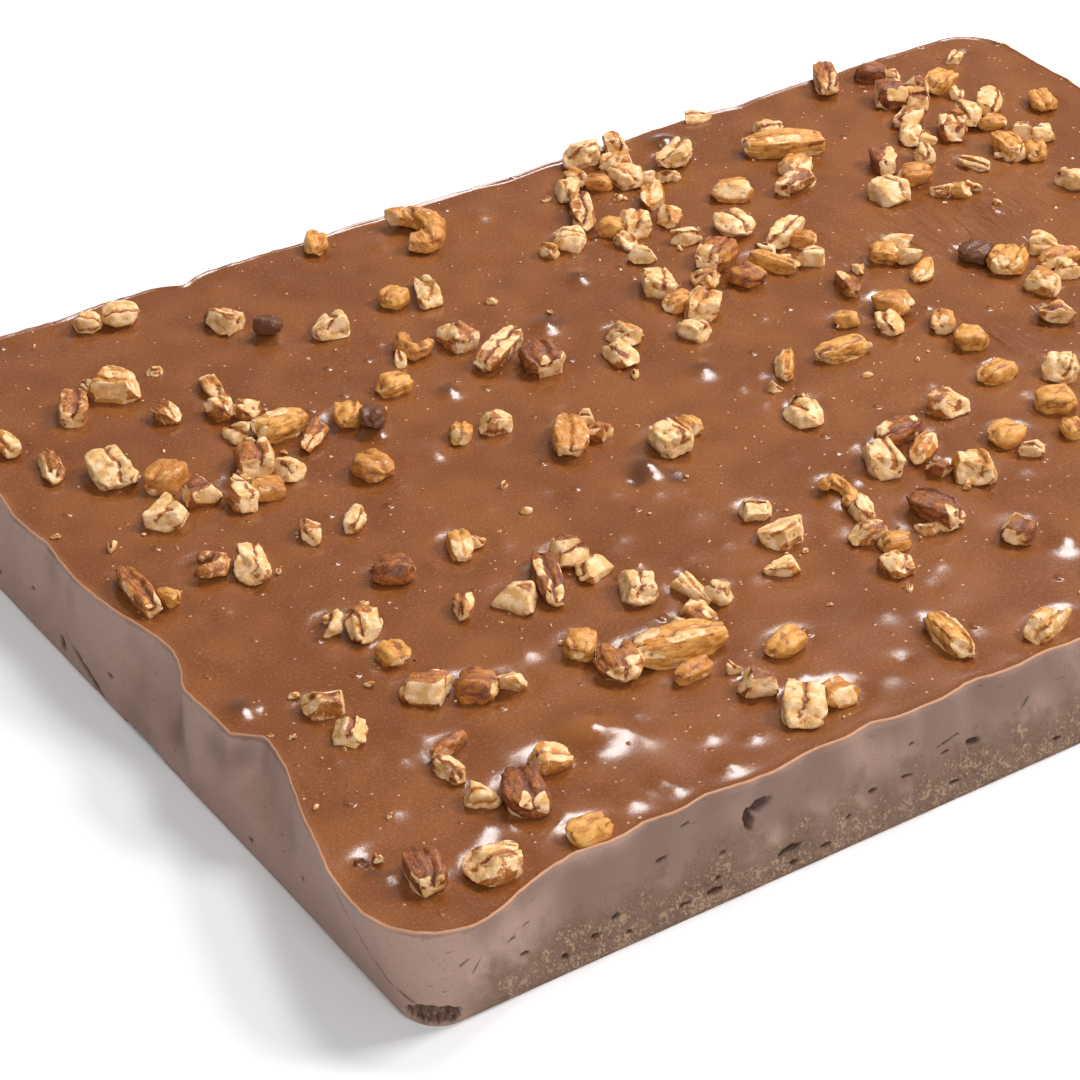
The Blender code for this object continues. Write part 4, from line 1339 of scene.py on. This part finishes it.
@dataclass
class SmallPecans:
    """The smaller chopped pieces and the crumbs, made at their true size and joined by kind."""

    chopper: Chopper
    slab: FudgeSlab
    level: int = 2
    seed: int = 11
    pieces: list = field(default_factory=list)
    # Crumbs: the place and the size of each
    crumbs: tuple = (
        (27, 108, 3), (47, 101, 3.5), (18, 92, 2.4), (13, 96, 2.4), (7, 63, 2.6), (21, 49, 2.2),
        (141, 106, 2.2), (65, 134, 3.4), (20, 199, 4.4), (9, 213, 2.6), (78, 148, 2.4),
        (124, 219, 3.6), (132, 163, 3.6), (129, 148, 3.4), (54, 162, 2.2), (87, 216, 2.2),
        (64, 124, 3.2), (200, 193, 3.8), (260, 152, 3.4), (279, 151, 2.0), (198, 55, 3.6),
        (179, 87, 3.0), (185, 86, 2.2), (174, 61, 2.2), (245, 86, 3.2), (366, 215, 3.4),
        (407, 254, 3.8), (390, 241, 4.2), (188, 256, 4.0), (200, 239, 3.0), (262, 290, 4.0),
        (264, 288, 2.2), (271, 257, 2.6), (259, 250, 2.6), (241, 303, 3.2), (220, 275, 2.4),
    )
    dust_count: int = 150
    # The far pieces: how many, how far apart at least, and from where to where in x and y. They lie
    # to the right of a line, given by where it meets the front, its run in x and y, and its offset
    far_count: int = 46
    far_gap: float = 13.0
    far_x: tuple = (225, 436)
    far_y: tuple = (14, 262)
    far_line: tuple = (224, 224, 261, 900)

    def sort_out(self, feet: list[Piece]) -> None:
        """Lists the pieces that are read one by one, then those of the far right, which lie at random.

        Args:
            feet: the large pieces, which these stay clear of.
        """
        c, d, g, m, r, t, k = (
            Look.CREAM, Look.DARK, Look.GOLDEN, Look.MIXED, Look.REDDISH, Look.TAN, Look.COATED,
        )
        chunk, rod, half, wedge, curl = Kind.CHUNK, Kind.ROD, Kind.HALF, Kind.WEDGE, Kind.CURL
        rows = (
            (chunk, m, 31, 99, 11, 9, 6, -23), (chunk, m, 31, 85, 10, 9, 5, 47),
            (half, g, 59, 109, 10, 8, 4.5, 90), (chunk, r, 58, 90, 13, 12, 6, -38),
            (half, r, 70, 83, 11, 11, 6, 132), (wedge, t, 79, 80, 9, 7, 5, -26),
            (rod, r, 49, 65, 12, 5, 4.5, 16), (rod, m, 44, 56, 11, 6, 4.5, 97),
            (chunk, c, 45, 42, 9, 7, 5, -25), (chunk, t, 69, 45, 11, 9, 5, -18),
            (half, g, 60, 15, 12, 8, 4.5, 3), (half, g, 104, 83, 11, 9, 6, 48),
            (wedge, c, 120, 76, 7, 4, 3, -10), (chunk, c, 133, 77, 5, 4, 3, -38),
            (chunk, r, 140, 77, 11, 8, 5, 89), (wedge, c, 146, 88, 14, 7, 5, 95),
            (chunk, c, 151, 82, 8, 7, 5, 109), (half, t, 123, 56, 13, 7, 4.5, 10),
            (wedge, c, 133, 52, 5, 4, 3, 93), (chunk, d, 133, 41, 10, 8, 6, -25),
            (chunk, t, 150, 26, 11, 9, 4.5, -5), (wedge, d, 102, 112, 12, 12, 6, 131),
            (wedge, m, 128, 112, 11, 8, 5, 23), (chunk, d, 127, 122, 11, 10, 6, -2),
            (chunk, m, 59, 124, 14, 9, 6, 68), (curl, c, 52, 130, 9, 7, 5, 40),
            (rod, r, 87, 116, 10, 6, 5, 56), (half, t, 50, 221, 14, 11, 6, 27),
            (chunk, d, 55, 208, 11, 9, 6, -10), (wedge, c, 68, 209, 7, 6, 3.5, 95),
            (chunk, m, 63, 199, 11, 8, 6, 89), (half, t, 72, 200, 11, 10, 5, -38),
            (chunk, m, 83, 206, 10, 9, 5, 93), (rod, r, 99, 218, 17, 7, 5, 41),
            (half, g, 113, 221, 12, 9, 5, 49), (half, k, 117, 212, 10, 8, 5, 39),
            (half, t, 104, 192, 13, 11, 6, 97), (rod, g, 136, 193, 10, 7, 4.5, 56),
            (chunk, m, 148, 192, 11, 8, 5, -12), (half, g, 21, 167, 8, 5, 4.5, 102),
            (curl, m, 38, 174, 13, 12, 5, 30), (rod, m, 71, 173, 11, 6, 4.5, 67),
            (rod, c, 86, 172, 12, 6, 4.5, 41), (half, d, 80, 142, 12, 10, 6, -23),
            (rod, g, 103, 143, 13, 7, 5, 73), (wedge, c, 109, 143, 5, 4, 3, 95),
            (wedge, c, 172, 179, 6, 5, 4.5, 131), (chunk, r, 171, 171, 8, 6, 4.5, 127),
            (half, g, 196, 159, 9, 7, 4.5, 88), (chunk, m, 203, 204, 12, 9, 5, 90),
            (chunk, t, 211, 214, 11, 9, 5, 95), (chunk, c, 231, 204, 10, 9, 5, 98),
            (half, g, 238, 221, 12, 8, 4.5, -1), (chunk, m, 253, 228, 9, 7, 5, -38),
            (half, r, 265, 221, 12, 10, 6, 114), (rod, g, 278, 224, 17, 7, 5, -64),
            (chunk, c, 290, 220, 9, 7, 5, -38), (rod, r, 289, 199, 14, 6, 5, 72),
            (wedge, g, 299, 206, 5, 4, 3, 100), (half, g, 275, 182, 8, 6, 4.5, -38),
            (half, t, 293, 181, 12, 10, 6, 113), (chunk, c, 285, 172, 11, 9, 5, 57),
            (rod, g, 242, 171, 16, 6, 4.5, 52), (wedge, c, 232, 163, 5, 4, 3, 84),
            (wedge, c, 229, 144, 12, 10, 5, 98), (chunk, d, 233, 151, 7, 4, 4.5, -29),
            (chunk, m, 268, 123, 12, 10, 6, 111), (half, g, 294, 130, 14, 8, 5, 0),
            (rod, t, 248, 109, 16, 7, 5, 31), (chunk, d, 244, 98, 8, 6, 4.5, 126),
            (half, g, 273, 101, 12, 10, 5, -2), (chunk, m, 274, 91, 8, 6, 4.5, -38),
            (half, g, 298, 107, 13, 11, 6, -38), (half, g, 292, 93, 8, 7, 4.5, 77),
            (wedge, t, 221, 75, 7, 5, 3.5, -23), (chunk, m, 205, 82, 12, 7, 5, -6),
            (half, g, 208, 74, 9, 6, 4.5, -11), (chunk, m, 201, 65, 10, 8, 5, 94),
            (rod, c, 211, 93, 11, 6, 5, 74), (curl, g, 211, 104, 14, 10, 5, 80),
            (chunk, c, 185, 110, 9, 7, 4.5, -25), (wedge, t, 174, 82, 12, 8, 4.5, 7),
            (half, g, 152, 52, 14, 9, 5, 20), (chunk, d, 242, 59, 12, 10, 6, 37),
            (half, g, 311, 208, 10, 8, 5, 128), (chunk, t, 319, 213, 11, 9, 5, 126),
            (wedge, c, 318, 203, 10, 6, 5, -23), (rod, g, 316, 193, 14, 7, 3.5, 28),
            (rod, t, 300, 164, 11, 8, 5, 56), (half, g, 300, 150, 11, 9, 6, -38),
            (half, k, 338, 192, 12, 10, 5.5, 7), (chunk, c, 359, 184, 11, 9, 6, -38),
            (rod, t, 358, 174, 15, 8, 5, -2), (chunk, c, 355, 167, 9, 7, 4.5, -27),
            (chunk, t, 342, 164, 12, 9, 6, 108), (chunk, m, 334, 148, 11, 9, 6, -38),
            (chunk, c, 396, 212, 11, 8, 6, -38), (half, t, 355, 245, 12, 10, 6, -10),
            (rod, c, 367, 256, 9, 7, 5, 66), (rod, d, 352, 259, 13, 9, 6, 63),
            (chunk, t, 373, 270, 12, 8, 5, 49), (wedge, c, 376, 265, 7, 5, 4.5, -38),
            (chunk, m, 380, 280, 12, 9, 5, 26), (chunk, d, 389, 287, 10, 6, 5, -24),
            (chunk, d, 396, 296, 11, 9, 6, 122), (wedge, c, 407, 286, 7, 5, 3.5, 65),
            (half, d, 390, 314, 11, 8, 6, -30), (chunk, c, 397, 311, 6, 4, 3.5, -38),
            (wedge, c, 319, 323, 10, 5, 3.5, -10), (rod, c, 425, 309, 9, 5, 3.5, 31),
            (half, g, 428, 264, 12, 9, 5, 65), (chunk, c, 334, 301, 10, 7, 5, -29),
            (chunk, t, 325, 273, 13, 11, 5, 31), (chunk, t, 295, 271, 13, 10, 6, -27),
            (rod, c, 399, 271, 15, 8, 6, 64), (chunk, r, 395, 271, 7, 5, 4.5, 120),
            (half, g, 402, 261, 10, 6, 5, -24), (half, g, 401, 237, 11, 8, 5, 57),
            (chunk, c, 411, 245, 9, 7, 5, -38), (chunk, m, 405, 249, 9, 6, 6, 134),
            (rod, c, 378, 242, 12, 5, 3.5, 111), (wedge, t, 356, 232, 8, 5, 4.5, -30),
            (chunk, t, 361, 229, 8, 6, 4.5, 131), (wedge, c, 367, 230, 7, 4, 3, 92),
            (half, g, 160, 319, 13, 8, 4.5, 56), (half, g, 163, 274, 10, 9, 5, 23),
            (rod, c, 145, 242, 9, 4, 3.5, 61), (curl, t, 152, 246, 14, 11, 5, 80),
            (chunk, m, 166, 242, 14, 10, 6, 90), (chunk, c, 264, 254, 10, 6, 5, -23),
            (chunk, c, 245, 252, 9, 7, 5, -38), (rod, c, 246, 263, 8, 6, 4.5, 100),
            (half, g, 247, 273, 10, 8, 5, 129), (half, c, 231, 274, 11, 11, 5, -35),
            (chunk, t, 221, 272, 7, 5, 4.5, 116), (rod, c, 250, 303, 13, 8, 5, 62),
            (chunk, t, 257, 309, 9, 6, 5, 104), (half, t, 262, 301, 9, 6, 5, 132),
            (half, c, 272, 300, 13, 10, 6, 97), (chunk, t, 276, 311, 11, 8, 5, -8),
            (chunk, c, 277, 296, 7, 5, 4.5, -38), (wedge, c, 285, 293, 8, 5, 4.5, -30),
            (rod, t, 272, 284, 17, 8, 5, 55), (rod, t, 268, 269, 13, 8, 5, 56),
            (half, t, 295, 231, 9, 7, 4.5, 127), (chunk, d, 282, 234, 7, 5, 3.5, 122),
            (wedge, c, 284, 227, 5, 3, 3, -26), (half, c, 73, 315, 9, 7, 5, -38),
            (half, c, 84, 313, 12, 11, 5, -18), (chunk, d, 110, 292, 12, 10, 6, 102),
            (half, k, 118, 278, 9, 7, 5, -38), (wedge, c, 56, 282, 6, 4, 3, 89),
            (chunk, c, 77, 278, 5, 3, 3, -26), (chunk, r, 68, 253, 9, 8, 5, 109),
            (rod, t, 87, 259, 14, 6, 4.5, 83), (chunk, r, 83, 246, 10, 8, 5, 96),
            (chunk, m, 89, 242, 9, 7, 5, 128), (wedge, c, 81, 232, 9, 8, 5, 108),
            (chunk, c, 81, 225, 6, 4, 3.5, -26), (rod, m, 25, 246, 15, 7, 4.5, 72),
            (rod, t, 19, 265, 12, 7, 5, 86), (half, g, 134, 228, 11, 9, 5, -1),
            (wedge, k, 118, 217, 7, 5, 3.5, -24), (wedge, k, 5, 37, 4, 3, 2, 6),
            (wedge, r, 10, 37, 3, 3, 2, 71),
        )
        self.pieces = [Piece(*row) for row in rows]
        draw = random.Random(self.seed)
        kinds = (chunk, chunk, chunk, rod, half, half, wedge)
        looks = (c, c, t, t, g, g, m, r, d)
        start, run_x, run_y, offset = self.far_line
        while len(self.pieces) < len(rows) + self.far_count:
            x, y = draw.uniform(*self.far_x), draw.uniform(*self.far_y)
            gaps = [math.hypot(x - other.x, y - other.y) for other in [*self.pieces, *feet]]
            if (x - start) * run_y - y * run_x < offset or min(gaps) <= self.far_gap:
                continue
            length = draw.uniform(6, 14)
            width = length * draw.uniform(0.55, 0.85)
            self.pieces.append(
                Piece(
                    draw.choice(kinds), draw.choice(looks), x, y, length, width,
                    min(5.5, width * 0.62), draw.uniform(0, 180),
                )
            )

    def build(self, finish: bpy.types.Material) -> None:
        """Makes the pieces, one mesh for each kind."""
        for kind in Kind:
            chosen = [(index, piece) for index, piece in enumerate(self.pieces) if piece.kind is kind]
            objects = []
            for index, piece in chosen:
                draw = random.Random(1000 + index)
                bm = self.chopper.chop(piece, draw)
                foot = self.slab.seat_height(piece.x, piece.y) - 0.7
                turn = Matrix.Rotation(math.radians(piece.turn + draw.choice((0, 180))), 4, "Z")
                place = Matrix.Translation((piece.x, piece.y, foot)) @ turn
                objects.append(self.chopper.coarse(bm, piece.look.value[0], 1.3 * index, place))
            coarse = join(objects)
            name = f"chopped_{kind.name.lower()}"
            mesh = self.chopper.work_up(coarse, name, self.level)
            mesh.transform(to_frame())
            add_piece(name, mesh, finish)
        self.build_crumbs(finish)

    def build_crumbs(self, finish: bpy.types.Material) -> None:
        """Makes the crumbs and the finest dust of nuts."""
        draw = random.Random(self.seed + 1)
        grains = list(self.crumbs)
        grains += [
            (draw.uniform(14, LENGTH - 16), draw.uniform(10, WIDTH - 14), draw.uniform(0.7, 1.5))
            for _ in range(self.dust_count)
        ]
        objects = []
        for index, (x, y, size) in enumerate(grains):
            bm = bmesh.new()
            bmesh.ops.create_icosphere(bm, subdivisions=1, radius=size / 2)
            bare = bm.faces.layers.float.new("bare")
            for face in bm.faces:
                face[bare] = 0.9
            for vert in bm.verts:
                vert.co *= draw.uniform(0.75, 1.25)
            stretch = (draw.uniform(0.9, 1.3), draw.uniform(0.6, 0.9), draw.uniform(0.6, 0.9))
            bmesh.ops.scale(bm, verts=bm.verts, vec=stretch)
            height = self.slab.seat_height(x, y) + size * 0.22
            place = Matrix.Translation((x, y, height)) @ Matrix.Rotation(draw.uniform(0, 6.3), 4, "Z")
            objects.append(self.chopper.coarse(bm, draw.choice((0.2, 0.3, 0.6)), 0.7 * index, place))
        mesh = self.chopper.work_up(join(objects), "crumbs", 1)
        mesh.transform(to_frame())
        add_piece("crumbs", mesh, finish)


def join(objects: list[bpy.types.Object]) -> bpy.types.Object:
    """Joins temporary objects into the first of them."""
    first = objects[0]
    with bpy.context.temp_override(
        active_object=first, object=first, selected_objects=objects, selected_editable_objects=objects
    ):
        bpy.ops.object.join()
    return first


# ---------------------------------------------------------------------------------------------------
# The studio
# ---------------------------------------------------------------------------------------------------


@dataclass(frozen=True)
class SoftLight:
    """A soft box: its bearing from the right, its elevation, its distance, its size and its power."""

    bearing: float
    elevation: float
    distance: float
    size: float
    power: float

    def build(self, name: str) -> None:
        """Adds the light, pointing at the middle of the slab."""
        lamp = bpy.data.lights.new(name, "AREA")
        lamp.shape = "SQUARE"
        lamp.size = self.size
        lamp.energy = self.power
        made = bpy.data.objects.new(name, lamp)
        bearing, elevation = math.radians(self.bearing), math.radians(self.elevation)
        direction = (
            math.cos(elevation) * math.cos(bearing),
            math.cos(elevation) * math.sin(bearing),
            math.sin(elevation),
        )
        place = self.distance * Vector(direction)
        made.location = place
        made.rotation_euler = (-place).to_track_quat("-Z", "Y").to_euler()
        bpy.context.scene.collection.objects.link(made)


@dataclass
class Studio:
    """A pale floor, soft lights and the camera."""

    camera_place: Triple = (-0.5641, -0.7159, 0.5868)
    camera_turn: Triple = (90 - 34.064, 0.0, -33.94)
    lens: float = 114.67
    floor_size: float = 12.0
    floor_colour: Colour = (0.84, 0.835, 0.845)
    sky: float = 0.31
    lights: tuple = (
        SoftLight(-10.0, 42.0, 2.1, 0.7, 38.0),
        SoftLight(36.0, 57.0, 2.1, 0.6, 25.0),
        SoftLight(-112.0, 38.0, 2.3, 1.2, 25.0),
    )

    def build(self) -> None:
        """Sets the studio up."""
        scene = bpy.context.scene
        camera = bpy.data.objects.new("camera", bpy.data.cameras.new("camera"))
        camera.data.lens = self.lens
        camera.data.sensor_width = 36.0
        camera.data.clip_start = 0.01
        camera.location = self.camera_place
        camera.rotation_euler = [math.radians(value) for value in self.camera_turn]
        scene.collection.objects.link(camera)
        scene.camera = camera
        bm = bmesh.new()
        bmesh.ops.create_grid(bm, x_segments=1, y_segments=1, size=self.floor_size / 2)
        mesh = bpy.data.meshes.new("floor")
        bm.to_mesh(mesh)
        bm.free()
        floor = bpy.data.objects.new("floor", mesh)
        scene.collection.objects.link(floor)
        tree = Tree("floor")
        mesh.materials.append(tree.finish(Base_Color=self.floor_colour, Roughness=0.9))
        for number, light in enumerate(self.lights, start=1):
            light.build(f"soft_box_{number}")
        world = bpy.data.worlds.new("studio")
        world.use_nodes = True
        background = world.node_tree.nodes["Background"]
        background.inputs["Color"].default_value = (1.0, 1.0, 1.0, 1.0)
        background.inputs["Strength"].default_value = self.sky
        scene.world = world
        scene.view_settings.view_transform = "Standard"


def main() -> None:
    """Builds the studio, the pecans and the slab."""
    logging.basicConfig(level=logging.INFO, format="%(name)s: %(message)s")
    Studio().build()
    fudge, pecan = FudgeFinish().make(), PecanFinish().make()
    slab = FudgeSlab(Outline())
    chopper = Chopper()
    large = LargePecans(chopper)
    feet = large.footprints()
    large.build(pecan)
    small = SmallPecans(chopper, slab)
    small.sort_out(feet)
    small.build(pecan)
    slab.build(feet + small.pieces, fudge)


if __name__ == "__main__":
    main()
